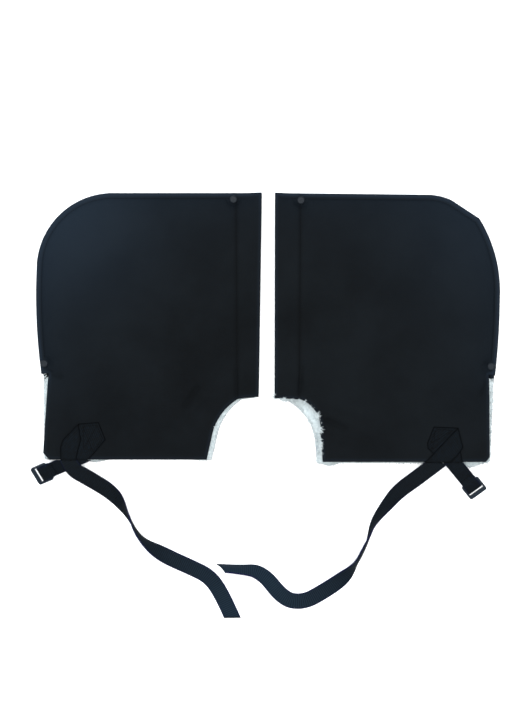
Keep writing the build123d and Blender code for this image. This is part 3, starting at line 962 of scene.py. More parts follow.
LEFT = MuffPattern(
    side=Side.LEFT,
    inner_top=8.0,
    inner_foot=12.0,
    top_sag=0.0,
    shoulder_in=97.0,
    corner=((28.4, 28.4),),
    hip_drop=97.0,
    flank=(0.6, 175.0),
    seam_end=(6.0, 230.0),
    slit_top_in=16.0,
    slit_foot=(9.6, 9.0),
    hem_corner=(17.0, 0.0),
    hem_up=0.0,
    front_cut=CutOut(66.0, (60.0, 27.0), (49.5, 54.5), (26.0, 77.0), 80.0),
    back_slit_in=(8.5, 9.0),
    back_hem_up=-0.8,
    back_cut=CutOut(60.0, (53.5, 27.0), (43.0, 54.0), (22.0, 76.0), 79.0),
    rivets=((250.6, 8.5), (9.8, 217.3)),
    creases=(
        Crease((-106.0, -97.0), (-89.0, -73.0), -1.7, 6.0),
        Crease((-98.0, -104.0), (-80.0, -84.0), 1.0, 8.0),
        Crease((-279.0, -53.0), (-262.0, -61.0), -1.6, 5.0),
        Crease((-41.0, -52.0), (-40.0, -88.0), -0.9, 4.0),
        Crease((-120.0, -120.0), (-84.0, -146.0), 0.6, 12.0),
    ),
    strap=StrapPattern(
        under=(
            (54.7, 45.6), (80.1, 47.5), (88.9, 25.3), (71.2, 4.3),
            (65.5, -0.9), (33.0, -0.9), (48.0, 22.0),
        ),
        over=(
            (35.0, 25.3), (54.7, 45.6), (57.8, 25.3), (54.6, 13.2),
            (51.5, -0.9), (32.2, -0.9), (31.8, 15.8),
        ),
        box=((60.5, 42.5), (78.0, 43.5), (84.8, 26.0), (72.5, 10.5), (61.0, 14.0)),
        cross=(((60.5, 42.5), (72.5, 10.5)), ((78.0, 43.5), (61.0, 14.0))),
        leg_in=48.3,
        leg_angle=23.4,
        leg_length=45.4,
        droop=25.0,
        route=(
            (-253.0, -165.4, 21.1),
            (-248.0, -177.2, 20.5),
            (-230.2, -187.3, 16.4),
            (-198.4, -207.6, 6.0),
            (-180.7, -230.5, 8.5),
            (-169.9, -254.0, 11.2),
            (-154.0, -273.1, 10.6),
            (-130.4, -289.2, 4.0),
            (-99.4, -303.2, 1.2),
            (-74.0, -315.6, 1.2),
            (-57.2, -341.8, 1.2),
            (-45.7, -368.3, 1.2),
        ),
        roll=(0.0, 0.0, 0.0, 6.0, 68.0, 91.0, 112.0, 172.0, 180.0, 180.0, 180.0, 180.0),
        end_slant=-0.43,
    ),
    frays=((-221.0, 3.4, 12.0), (-84.0, 1.2, 10.0)),
    bloom=0.5,
    ragged=0.35,
    seed=11,
)

RIGHT = MuffPattern(
    side=Side.RIGHT,
    inner_top=8.6,
    inner_foot=8.0,
    top_sag=2.2,
    shoulder_in=92.0,
    corner=((76.5, 4.0), (62.0, 8.8), (26.0, 32.5), (7.6, 73.0)),
    hip_drop=136.0,
    flank=(1.6, 182.0),
    seam_end=(6.0, 232.0),
    slit_top_in=14.6,
    slit_foot=(14.2, 3.0),
    hem_corner=(19.0, -3.0),
    hem_up=-3.0,
    front_cut=CutOut(61.0, (58.0, 35.0), (52.5, 60.0), (34.0, 76.0), 78.0),
    back_slit_in=(7.0, 12.0),
    back_hem_up=-5.0,
    back_cut=CutOut(54.0, (52.0, 25.0), (40.0, 54.0), (11.0, 77.0), 77.6),
    rivets=((253.4, 9.6), (11.4, 221.0)),
    creases=(
        Crease((74.0, -115.0), (99.0, -126.0), -1.6, 6.0),
        Crease((280.0, -60.0), (271.0, -82.0), -0.7, 5.0),
        Crease((42.5, -48.0), (39.5, -82.0), -1.2, 4.5),
        Crease((46.0, -60.0), (56.0, -84.0), 1.0, 8.0),
        Crease((90.0, -100.0), (120.0, -108.0), 0.7, 10.0),
    ),
    strap=StrapPattern(
        under=(
            (85.4, 41.8), (54.4, 40.4), (52.0, 15.0), (48.5, -3.9), (73.0, -3.9),
            (86.1, 7.4), (92.9, 14.3), (93.6, 21.1),
        ),
        over=(
            (54.4, 40.4), (48.2, 15.6), (55.8, 4.6), (65.4, -3.9),
            (97.2, -3.9), (86.1, 7.4), (69.5, 25.5),
        ),
        box=((83.0, 38.3), (61.0, 37.4), (69.0, 29.5), (87.0, 12.5), (89.5, 20.5)),
        cross=(((83.0, 38.3), (87.0, 12.5)), ((89.5, 20.5), (61.0, 37.4))),
        leg_in=60.6,
        leg_angle=50.0,
        leg_length=44.7,
        droop=18.0,
        route=(
            (214.0, -168.4, 20.95),
            (190.8, -186.7, 17.6),
            (166.1, -205.1, 9.6),
            (150.8, -224.2, 8.5),
            (134.9, -245.7, 10.6),
            (128.6, -263.5, 11.4),
            (122.2, -280.0, 11.0),
            (112.1, -299.1, 10.4),
            (94.9, -318.1, 4.0),
            (68.3, -335.9, 1.2),
            (45.4, -348.0, 1.2),
            (20.0, -344.8, 2.4),
            (-7.9, -308.4, 5.0),
            (-36.6, -304.0, 9.5),
            (-60.5, -302.8, 9.5),
        ),
        roll=(
            0.0, 0.0, 22.0, 46.0, 72.0, 90.0, 106.0, 102.0,
            168.0, 180.0, 180.0, 180.0, 206.0, 248.0, 244.0,
        ),
        end_slant=0.62,
    ),
    frays=((78.0, 3.6, 10.0), (257.0, 5.6, 13.0), (205.0, 1.4, 12.0)),
    bloom=0.26,
    ragged=1.0,
    seed=23,
)


# ---- panels ---------------------------------------------------------------------------------
@dataclass
class PaddingSwell:
    """How the padded front panel swells between its held edges, from a cloth simulation."""

    pattern: MuffPattern
    spacing: float = 9.0
    limit: float = 2.2
    steps: int = 20
    pressure: float = 1.2
    slack: float = 0.0006
    held_seam: float = 12.0
    held_strap: float = 34.0
    above: float = 60.0

    def settle(self) -> Callable[[np.ndarray], np.ndarray]:
        """Runs the simulation.

        Returns:
            A function that gives the swelling, in millimetres, at each of a set of spots.
        """
        blank = Blank(self.pattern.front(), rows=(5.0,), spacing=self.spacing)
        flat = np.column_stack([blank.spots, np.zeros(len(blank.spots))])
        cloth = make_object("swell_" + self.pattern.side.word, flat, blank.triangles)
        held = cloth.vertex_groups.new(name="held")
        edge = gap_to(closed(self.pattern.front()), blank.spots) < 1.0
        seam = gap_to(self.pattern.sewn_line(), blank.spots) < self.held_seam
        rest = np.linalg.norm(blank.spots - self.pattern.strap_rest(), axis=1) < self.held_strap
        held.add([int(i) for i in np.flatnonzero(edge | seam | rest)], 1.0, "REPLACE")
        modifier = cloth.modifiers.new("Cloth", "CLOTH")
        settings = modifier.settings
        settings.quality = 6
        settings.mass = 0.2
        settings.tension_stiffness = settings.compression_stiffness = 20
        settings.shear_stiffness = 8
        settings.bending_stiffness = 1.5
        settings.use_pressure = True
        settings.uniform_pressure_force = self.pressure
        settings.shrink_min = -self.slack
        settings.vertex_group_mass = "held"
        settings.effector_weights.gravity = 0
        scene = bpy.context.scene
        scene.frame_start, scene.frame_end = 1, self.steps
        modifier.point_cache.frame_end = self.steps
        for step in range(1, self.steps + 1):
            scene.frame_set(step)
        made = cloth.evaluated_get(bpy.context.evaluated_depsgraph_get()).to_mesh()
        points = [Vector((v.co.x, v.co.y, v.co.z)) / MM for v in made.vertices]
        tree = BVHTree.FromPolygons(points, blank.triangles)
        scene.frame_set(1)
        bpy.data.objects.remove(cloth)
        crown = max(p.z for p in points)
        LOG.info("padding of %s settled, %.1f mm at its crown", self.pattern.side.word, crown)
        return lambda spots: self._read(tree, spots)

    def _read(self, tree: BVHTree, spots: np.ndarray) -> np.ndarray:
        """The swelling at each spot, softly held to its limit."""
        heights = np.zeros(len(spots))
        for number, (x, y) in enumerate(spots):
            hit = tree.ray_cast(Vector((x, y, self.above)), Vector((0, 0, -1)))[0]
            heights[number] = hit.z if hit is not None else 0.0
        return self.limit * np.tanh(heights / self.limit)


@dataclass
class FrontPanel:
    """The front of a muff: cloth over fleece, sewn down round the corner and free elsewhere."""

    pattern: MuffPattern
    finishes: Finishes
    stitch_in: float = 7.0
    cap_radius: float = 5.0
    bend_start: float = -3.0
    bend_end: float = 34.0
    free_from: float = -6.0
    free_to: float = 26.0
    first_stitch: int = 4

    def __post_init__(self) -> None:
        """Settles the padding before the cloth is shaped over it."""
        self.word = self.pattern.side.word
        self.swell = PaddingSwell(self.pattern).settle()

    def freedom(self, spots: np.ndarray) -> np.ndarray:
        """How free each spot is of the sewn corner, from 0 to 1 across the fold."""
        return ease(self.pattern.past_fold(spots), self.free_from, self.free_to)

    def top(self, spots: np.ndarray, detail: bool = True) -> np.ndarray:
        """Height of the cloth's outer face.

        Args:
            spots: Table places.
            detail: Whether seams, creases and ripples are worked in.

        Returns:
            One height a spot, in millimetres.
        """
        pattern = self.pattern
        sewn = gap_to(pattern.sewn_line(), spots)
        edge = gap_to(closed(pattern.front()), spots)
        free = self.freedom(spots)
        rim = LEVELS.seam + 2.5 * (1 - np.exp(-sewn / 0.9)) + 0.3 * hump(sewn - 3.4, 1.6)
        climb_from = np.maximum(sewn - self.stitch_in, 0)
        climb = 1 - 0.62 * np.exp(-climb_from / 9.0) - 0.38 * np.exp(-climb_from / 32.0)
        low = rim - 0.55 * hump(sewn - self.stitch_in, 1.2)
        sewn_top = low + (LEVELS.top - LEVELS.seam - 2.5) * climb
        free_top = LEVELS.top - 1.1 * np.exp(-edge / 0.7)
        height = sewn_top * (1 - free) + free_top * free
        if not detail:
            return self.pressed(spots, height)
        inner = ease(edge, 2.0, 30.0)
        flat = 1 - np.exp(-(np.linalg.norm(spots - pattern.strap_rest(), axis=1) / 46.0) ** 4)
        waves = 0.45 * ripple(spots, 70.0, pattern.seed) + 0.16 * ripple(spots, 22.0, pattern.seed + 5)
        height += (self.swell(spots) + waves) * inner * flat
        for crease in pattern.creases:
            line = straight(crease.start, crease.end, 1.5)
            height += crease.rise * np.exp(-(gap_to(line, spots) / crease.width * 2) ** 2)
        return self.pressed(spots, height + self.hem_relief(spots))

    def pressed(self, spots: np.ndarray, height: np.ndarray) -> np.ndarray:
        """The heights with the cloth pressed down to its seat round each rivet's cap."""
        for rivet in self.pattern.rivets:
            apart = np.linalg.norm(spots - np.array(self.pattern.place(*rivet)), axis=1)
            press = 1 - ease(apart, self.cap_radius + 0.6, self.cap_radius + 7.0)
            height = height * (1 - press) + np.minimum(height, LEVELS.edge_top) * press
        return height

    def hem_relief(self, spots: np.ndarray) -> np.ndarray:
        """The doubled hem, a little proud of the panel, with the dip of its seam."""
        past = self.pattern.past_hem(spots)
        doubled = 0.35 * (1 - ease(past, -2.5, -0.4))
        return doubled - 0.32 * hump(past, 2.2)

    def build_cloth(self) -> None:
        """Makes the outer cloth, rim and turned edges in one piece."""
        pattern = self.pattern
        blank = Blank(pattern.front(), seams=(pattern.hem_seam(),))
        top = self.top(blank.spots)
        sewn = gap_to(pattern.sewn_line(), blank.spots)
        edge = gap_to(closed(pattern.front()), blank.spots)
        free = self.freedom(blank.spots)
        rim_thick = 0.1 + 1.7 * (1 - np.exp(-sewn / 1.0)) - 0.7 * ease(sewn, 8.0, 16.0)
        free_thick = 0.5 + 1.0 * (1 - np.exp(-edge / 0.6)) - 0.5 * ease(edge, 6.0, 12.0)
        thick = rim_thick * (1 - free) + free_thick * free
        piece = blank.solid(f"{self.word}_front_cloth", top, top - thick)
        add_tones(
            piece,
            rolled=rolled_over(edge, 0.75 - 0.5 * free),
            dulled=pattern.shade_amount(blank.spots),
            faded=pattern.fading(blank.spots),
        )
        dress(piece, self.finishes.cloth)
        nodes = ("front_corner_shell", "front_flap_shell", "front_hem", "sewn_edge")
        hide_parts(*(f"{self.word}_{node}" for node in nodes))
        self._bend(piece)

    def build_fleece(self) -> None:
        """Makes the fleece under the cloth, up to the hem's seam."""
        pattern = self.pattern
        whole = pattern.front()
        sewn_edge = 1 - ease(gap_to(pattern.sewn_line(), whole), 0.5, 14.0)
        cut = whole + inward(whole) * (0.7 + 12.5 * sewn_edge)[:, None]
        limit = pattern.side.value * (pattern.inner_foot + pattern.hem_width - 2.0)
        cut = clipped(cut, limit, pattern.side.value)
        blank = Blank(cut, rows=(0.8, 2.0), spacing=3.6)
        top = np.minimum(self.top(blank.spots, detail=False), self.top(blank.spots) - 0.5) - 1.25
        past = pattern.past_fold(blank.spots)
        top -= 0.6 * ease(past, -12.0, -3.0) * (1 - ease(past, 34.0, 44.0))
        edge = gap_to(closed(cut), blank.spots)
        tufts = 0.8 * ripple(blank.spots, 4.0, pattern.seed + 2) + 0.5 * ripple(blank.spots, 9.0, 3.0)
        low = np.minimum(LEVELS.front_pile + 0.2 + tufts, top - 0.6)
        bulge = 1.6 * np.exp(-edge / 0.8)
        low = np.minimum(low + bulge, top - 1.2)
        piece = blank.solid(f"{self.word}_front_fleece", top - bulge * 0.5, low)
        dress(piece, self.finishes.fleece)
        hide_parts(f"{self.word}_front_corner_lining", f"{self.word}_front_flap_lining")
        self._bend(piece)

    def _bend(self, piece: bpy.types.Object) -> None:
        """Bakes a piece's placement into its points."""
        point, towards = self.pattern.fold()
        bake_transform(piece)

    def build(self) -> None:
        """Makes every piece of the panel."""
        self.build_cloth()
        self.build_fleece()
        self.build_fringe()
        self.build_hem_stitches()

    def build_fringe(self) -> None:
        """Makes the fleece that shows at the front panel's free edges."""
        pattern = self.pattern
        whole = pattern.front()
        normals = -inward(whole)
        free = pattern.past_fold(whole) > 16.0
        inner = np.abs(whole[:, 0]) < pattern.inner_foot + pattern.hem_width - 6.0
        cut_y = pattern.hem_y + pattern.front_cut.height + 4.0
        under_strap = np.linalg.norm(whole - pattern.strap_exit(), axis=1) < 31.0
        chosen = free & ~(inner & (whole[:, 1] > cut_y)) & ~under_strap
        cut_out = (whole[:, 1] > pattern.hem_y + 6.0) & (whole[:, 1] < cut_y)
        cut_out &= np.abs(whole[:, 0]) < pattern.inner_foot + pattern.front_cut.foot + 6.0
        lush = np.where(cut_out, 1.0, 0.25) * pattern.ragged
        fringe = Fringe(
            spots=whole[chosen] - normals[chosen] * 0.9,
            outward=normals[chosen],
            lush=lush[chosen],
            low=LEVELS.front_pile + 1.5,
            high=LEVELS.front_shell - 1.0,
            reach=3.4,
            lift=0.45,
            seed=pattern.seed + 40,
        )
        piece = dress(fringe.build(f"{self.word}_front_fringe"), self.finishes.fleece)
        self._bend(piece)
        clumps = np.clip(2.2 * ripple(whole, 7.0, pattern.seed + 9) + 0.35, 0, 1)
        straying = Fringe(
            spots=whole[cut_out & free] + normals[cut_out & free] * 0.8,
            outward=-normals[cut_out & free],
            lush=(clumps * pattern.ragged**3)[cut_out & free],
            low=LEVELS.top - 0.4,
            high=LEVELS.top + 0.5,
            reach=4.6,
            lift=0.3,
            seed=pattern.seed + 60,
            per_spot=6,
        )
        piece = dress(straying.build(f"{self.word}_stray_tufts"), self.finishes.fleece)
        self._bend(piece)

    def build_hem_stitches(self) -> None:
        """Makes the row of stitches along the hem's seam."""
        seam = self.pattern.hem_seam()[self.first_stitch :]
        heights = self.top(seam) + 0.02
        row = StitchRow(np.column_stack([seam, heights]), radius=0.26)
        piece = dress(row.build(f"{self.word}_hem_stitches"), self.finishes.thread)
        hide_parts(f"{self.word}_hem_stitching")
        self._bend(piece)


@dataclass
class BackPanel:
    """The back of a muff, lying on the table: cloth under fleece, sewn up round the corner."""

    pattern: MuffPattern
    finishes: Finishes
    stitch_in: float = 7.0
    free_from: float = -4.0
    free_to: float = 14.0

    def __post_init__(self) -> None:
        """Names the body that the panel belongs to."""
        self.word = self.pattern.side.word
        self.body = f"{self.word}_muff"

    def freedom(self, spots: np.ndarray) -> np.ndarray:
        """How free each spot is of the sewn corner, from 0 to 1 across the fold."""
        return ease(self.pattern.past_fold(spots), self.free_from, self.free_to)

    def under(self, spots: np.ndarray) -> np.ndarray:
        """Height of the cloth's outer, lower face at each spot."""
        pattern = self.pattern
        sewn = gap_to(pattern.sewn_line(), spots)
        free = self.freedom(spots)
        rim = LEVELS.seam - 2.3 * (1 - np.exp(-sewn / 0.9)) - 0.2 * hump(sewn - 3.4, 1.6)
        rim += 0.6 * hump(sewn - self.stitch_in, 1.1)
        fall = 1 - ease(sewn, self.stitch_in, 30.0)
        return rim * fall * (1 - free)

    def build(self) -> None:
        """Makes every piece of the panel."""
        self.build_cloth()
        self.build_fleece()
        self.build_fringe()

    def build_cloth(self) -> None:
        """Makes the outer cloth with its turned-in inner hem."""
        pattern = self.pattern
        blank = Blank(pattern.back(), spacing=4.5)
        low = np.maximum(self.under(blank.spots), 0.0)
        sewn = gap_to(pattern.sewn_line(), blank.spots)
        edge = gap_to(closed(pattern.back()), blank.spots)
        free = self.freedom(blank.spots)
        low += 0.35 * np.exp(-edge / 0.6) * free
        thick = (0.1 + 1.5 * (1 - np.exp(-sewn / 1.0)) - 0.5 * ease(sewn, 8.0, 16.0)) * (1 - free)
        thick += (0.35 + 0.65 * (1 - np.exp(-edge / 0.5))) * free
        piece = blank.solid(f"{self.word}_back_cloth", low + thick, low)
        add_tones(piece, rolled=rolled_over(edge, 0.5), faded=pattern.fading(blank.spots))
        dress(piece, self.finishes.cloth)
        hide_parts(f"{self.word}_back_shell", f"{self.word}_back_hem")
        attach(piece, self.body)

    def build_fleece(self) -> None:
        """Makes the fleece on the cloth, which shows past the front panel's free edges."""
        pattern = self.pattern
        whole = pattern.back()
        sewn_edge = 1 - ease(gap_to(pattern.sewn_line(), whole), 0.5, 12.0)
        cut = whole + inward(whole) * (0.5 + 11.0 * sewn_edge)[:, None]
        limit = pattern.side.value * (pattern.inner_foot + 13.0)
        hem = clipped(cut, limit, pattern.side.value)
        blank = Blank(hem, rows=(0.7, 1.8, 3.2), spacing=4.0)
        low = self.under(blank.spots) + 1.1
        edge = gap_to(closed(hem), blank.spots)
        tufts = 0.9 * ripple(blank.spots, 4.5, pattern.seed + 1) + 0.6 * ripple(blank.spots, 11.0, 7.0)
        top = np.maximum(LEVELS.back_top - 0.4 + tufts - 2.6 * np.exp(-edge / 0.9), low + 0.8)
        piece = blank.solid(f"{self.word}_back_fleece", top, low)
        dress(piece, self.finishes.fleece)
        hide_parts(f"{self.word}_back_lining")
        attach(piece, self.body)

    def build_fringe(self) -> None:
        """Makes the curled pile along the back panel's free edges."""
        pattern = self.pattern
        whole = pattern.back()
        normals = -inward(whole)
        free = pattern.past_fold(whole) > 1.0
        cut_y = pattern.hem_y + pattern.back_cut.height + 2.0
        inner = (np.abs(whole[:, 0]) < pattern.inner_foot + 9.0) & (whole[:, 1] > cut_y - 3.0)
        chosen = free & ~inner
        fringe = Fringe(
            spots=whole[chosen] - normals[chosen] * 1.0,
            outward=normals[chosen],
            lush=np.full(int(chosen.sum()), 0.35 + 0.5 * pattern.ragged),
            low=2.2,
            high=LEVELS.back_top,
            reach=2.6,
            lift=0.25,
            seed=pattern.seed + 80,
        )
        piece = dress(fringe.build(f"{self.word}_back_fringe"), self.finishes.fleece)
        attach(piece, self.body)


@dataclass
class Fringe:
    """Curled tufts of pile along an edge."""

    spots: np.ndarray
    outward: np.ndarray
    lush: np.ndarray
    low: float
    high: float
    reach: float
    lift: float
    seed: int
    per_spot: int = 7
    sides: int = 5
    rings: int = 4

    def build(self, name: str) -> bpy.types.Object:
        """Makes all the tufts as one piece.

        Args:
            name: The piece's name.

        Returns:
            The new mesh object.
        """
        chance = random.Random(self.seed)
        points: list[np.ndarray] = []
        faces: list[tuple[int, ...]] = []
        for spot, out, lush in zip(self.spots, self.outward, self.lush):
            for _ in range(self.per_spot):
                if chance.random() < lush:
                    self._tuft(chance, spot, out, lush, points, faces)
        return make_object(name, np.vstack(points), faces)

    def _tuft(
        self,
        chance: random.Random,
        spot: np.ndarray,
        out: np.ndarray,
        lush: float,
        points: list[np.ndarray],
        faces: list[tuple[int, ...]],
    ) -> None:
        """Adds one tapering, curling tuft.

        Args:
            chance: Where the variety comes from.
            spot: The edge's point that it grows by.
            out: Unit vector out of the edge.
            lush: How full the pile is here, from 0 to 1.
            points: All tufts' points, added to.
            faces: All tufts' faces, added to.
        """
        aside = np.array([-out[1], out[0]])
        foot = np.array([*(spot - out * chance.uniform(0, 3.0) + aside * chance.uniform(-1.2, 1.2)), 0.0])
        foot[2] = chance.uniform(self.low, self.high)
        yaw, pitch = chance.gauss(0, 0.6), chance.gauss(self.lift, 0.4)
        flat = out * math.cos(yaw) + aside * math.sin(yaw)
        heading = np.array([*(flat * math.cos(pitch)), math.sin(pitch)])
        length = self.reach * (0.5 + 0.7 * lush) * chance.uniform(0.6, 1.3)
        radius = chance.uniform(0.45, 0.85)
        curl = chance.uniform(-0.35, 0.35)
        start = sum(len(p) for p in points)
        across, rise = upright_frame(heading)
        for ring in range(self.rings):
            share = ring / (self.rings - 1)
            middle = foot + heading * length * share + (across * curl + rise * -0.25) * length * share**2
            width = radius * (1 - 0.85 * share**1.5)
            turn = np.arange(self.sides) / self.sides * math.tau + share
            points.append(hoop(middle, width, turn, across, rise))
        points[-1][:, 2] = np.maximum(points[-1][:, 2], 0.2)
        faces += tube_faces(start, self.rings, self.sides)


@dataclass
class StitchRow:
    """A row of lockstitches laid along a line."""

    line: np.ndarray
    stitch: float = 2.7
    skip: float = 0.8
    radius: float = 0.33
    sides: int = 6
    shares: Sequence[float] = (0.0, 0.12, 0.5, 0.88, 1.0)
    sinks: Sequence[float] = (-0.35, 0.02, 0.12, 0.02, -0.35)
    sizes: Sequence[float] = (0.35, 0.9, 1.0, 0.9, 0.35)

    def build(self, name: str) -> bpy.types.Object:
        """Makes the row as one piece of small rounded stitches.

        Args:
            name: The piece's name.

        Returns:
            The new mesh object.
        """
        reach = run_of(self.line)
        turns = np.arange(self.sides) / self.sides * math.tau
        points: list[np.ndarray] = []
        faces: list[tuple[int, ...]] = []
        for begin in np.arange(self.skip, reach[-1] - self.stitch, self.stitch + self.skip):
            shares = begin + self.stitch * np.array(self.shares)
            middle = np.column_stack([np.interp(shares, reach, self.line[:, k]) for k in range(3)])
            middle[:, 2] += np.array(self.sinks) * self.radius * 2
            along = middle[-1] - middle[0]
            along /= np.linalg.norm(along)
            across, rise = upright_frame(along)
            faces += tube_faces(sum(len(p) for p in points), len(self.sizes), self.sides)
            for spot, size in zip(middle, self.sizes):
                points.append(hoop(spot, self.radius * size, turns, across, rise))
        return make_object(name, np.vstack(points), faces)


@dataclass
class EdgeStitching:
    """The topstitching round the sewn border, which stops short of the rivets."""

    front: FrontPanel
    finishes: Finishes
    clear_of_cap: float = 1.5

    def build(self) -> None:
        """Makes the stitches in the rim's groove."""
        pattern = self.front.pattern
        word = pattern.side.word
        line = pattern.seam_inset(self.front.stitch_in)
        caps = np.array([pattern.place(*rivet) for rivet in pattern.rivets])
        apart = np.min(np.linalg.norm(line[:, None] - caps[None], axis=2), axis=1)
        line = line[apart > self.front.cap_radius + self.clear_of_cap]
        row = StitchRow(np.column_stack([line, self.front.top(line) + 0.1]))
        piece = dress(row.build(f"{word}_edge_stitches"), self.finishes.thread)
        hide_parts(f"{word}_edge_stitching")
        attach(piece, f"{word}_muff")


# ---- webbing --------------------------------------------------------------------------------
@dataclass
class Tape:
    """A length of webbing along a line, with its own cross-section."""

    width: float = 20.0
    thick: float = 1.3
    half_across: Sequence[float] = (1.0, 0.985, 0.94, 0.86, 0.7, 0.35, 0.0)
    half_heights: Sequence[float] = (0.0, 0.62, 0.98, 1.0, 0.9, 0.92, 0.92)

    def build(
        self,
        name: str,
        middle: np.ndarray,
        side: np.ndarray,
        face: np.ndarray,
        slant: np.ndarray,
        cup: np.ndarray,
        start: float = 0.0,
    ) -> bpy.types.Object:
        """Makes the tape.

        Args:
            name: The piece's name.
            middle: Points of its centre line.
            side: Unit vector across the tape at each point.
            face: Unit vector out of its face at each point.
            slant: How far the tape's cross-section runs ahead there for each millimetre across.
            cup: How far its edges curl out of its face there.
            start: How far along the whole strap its first point is.

        Returns:
            The new mesh object, which carries its own run and breadth as 'tape'.
        """
        reach = run_of(middle)
        half = list(zip(self.half_across, self.half_heights))
        upper = [(-c, h) for c, h in half] + half[-2::-1]
        places = upper + [(c, -h) for c, h in upper[-2:0:-1]]
        ahead = unit(np.gradient(middle, axis=0))
        points, runs = [], []
        for spot, sideways, out, onward, lead, curl, run in zip(middle, side, face, ahead, slant, cup, reach):
            for c, h in places:
                breadth = c * self.width / 2
                rise = h * self.thick / 2 + curl * (c * c - 0.33)
                points.append(spot + sideways * breadth + onward * lead * breadth + out * rise)
                runs.append(((run + start + lead * breadth) * MM, breadth * MM, 0.0))
        piece = make_object(name, np.array(points), tube_faces(0, len(middle), len(places)))
        add_values(piece, "tape", np.array(runs))
        return piece


@dataclass
class LooseStrap:
    """The loose strap end: limp tape that twists from flat to its edge and back as it lies."""

    pattern: MuffPattern
    finishes: Finishes
    tape: Tape = field(default_factory=Tape)
    most_slant: float = 1.03
    most_cup: float = 2.6
    lowest: float = 0.0001
    hem_run: float = 34.0
    end_run: float = 22.0
    evening: int = 6

    def centre_line(self) -> np.ndarray:
        """The smooth line that the strap lies along, in millimetres."""
        route = self.pattern.strap.route
        data = bpy.data.curves.new("strap_route", "CURVE")
        data.dimensions = "3D"
        data.resolution_u = 10
        spline = data.splines.new("NURBS")
        spline.points.add(len(route) - 1)
        for point, (x, y, z) in zip(spline.points, route):
            point.co = (x * MM, y * MM, z * MM, 1.0)
        spline.order_u = 3
        spline.use_endpoint_u = True
        guide = bpy.data.objects.new("strap_route", data)
        bpy.context.scene.collection.objects.link(guide)
        bpy.context.view_layer.update()
        mesh = bpy.data.meshes.new_from_object(guide)
        line = np.array([tuple(v.co) for v in mesh.vertices]) / MM
        bpy.data.objects.remove(guide)
        bpy.data.meshes.remove(mesh)
        return line

    def rolls(self, count: int) -> np.ndarray:
        """How far the strap is rolled about its line at each of its points, in radians."""
        wanted = self.pattern.strap.roll
        last = len(wanted) - 2
        stations = np.concatenate([[0.0], np.arange(len(wanted) - 2) + 0.5, [float(last)]])
        along = np.linspace(0, last, count)
        plain = np.radians(np.interp(along, stations, wanted))
        padded = np.pad(plain, self.evening, mode="edge")
        window = 2 * self.evening + 1
        return np.convolve(padded, np.ones(window) / window, mode="valid")

    def build(self, with_pieces: Sequence[bpy.types.Object | str]) -> None:
        """Args:
            with_pieces: The buckle, its leg and its loop, which hang from the same place. Not used.
        """
        word = self.pattern.side.word
        line = self.centre_line()
        ahead = unit(np.gradient(line, axis=0))
        level = unit(np.column_stack([-ahead[:, 1], ahead[:, 0], np.zeros(len(line))]))
        upright = np.cross(ahead, level)
        upright *= np.where(upright[:, 2] < 0, -1, 1)[:, None]
        roll = self.rolls(len(line))[:, None]
        side = level * np.cos(roll) + upright * np.sin(roll)
        face = upright * np.cos(roll) - level * np.sin(roll)
        reach = run_of(line)
        hem_slant = np.clip(-side[0, 1] / ahead[0, 1], -self.most_slant, self.most_slant)
        slant = hem_slant * (1 - ease(reach, 0.0, self.hem_run))
        slant += self.pattern.strap.end_slant * (1 - ease(reach[-1] - reach, 0.0, self.end_run))
        cup = self.most_cup * np.sin(roll[:, 0]) ** 2
        piece = self.tape.build(f"{word}_loose_strap", line, side, face, slant, cup)
        for vertex in piece.data.vertices:
            vertex.co.z = max(vertex.co.z, self.lowest)
        dress(piece, self.finishes.webbing)
        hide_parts(f"{word}_strap_tail")
        length = float(np.linalg.norm(np.diff(line, axis=0), axis=1).sum()) * MM
        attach(piece, f"{word}_strap")
        LOG.info("%s loose strap is %.3f m long", word, length)


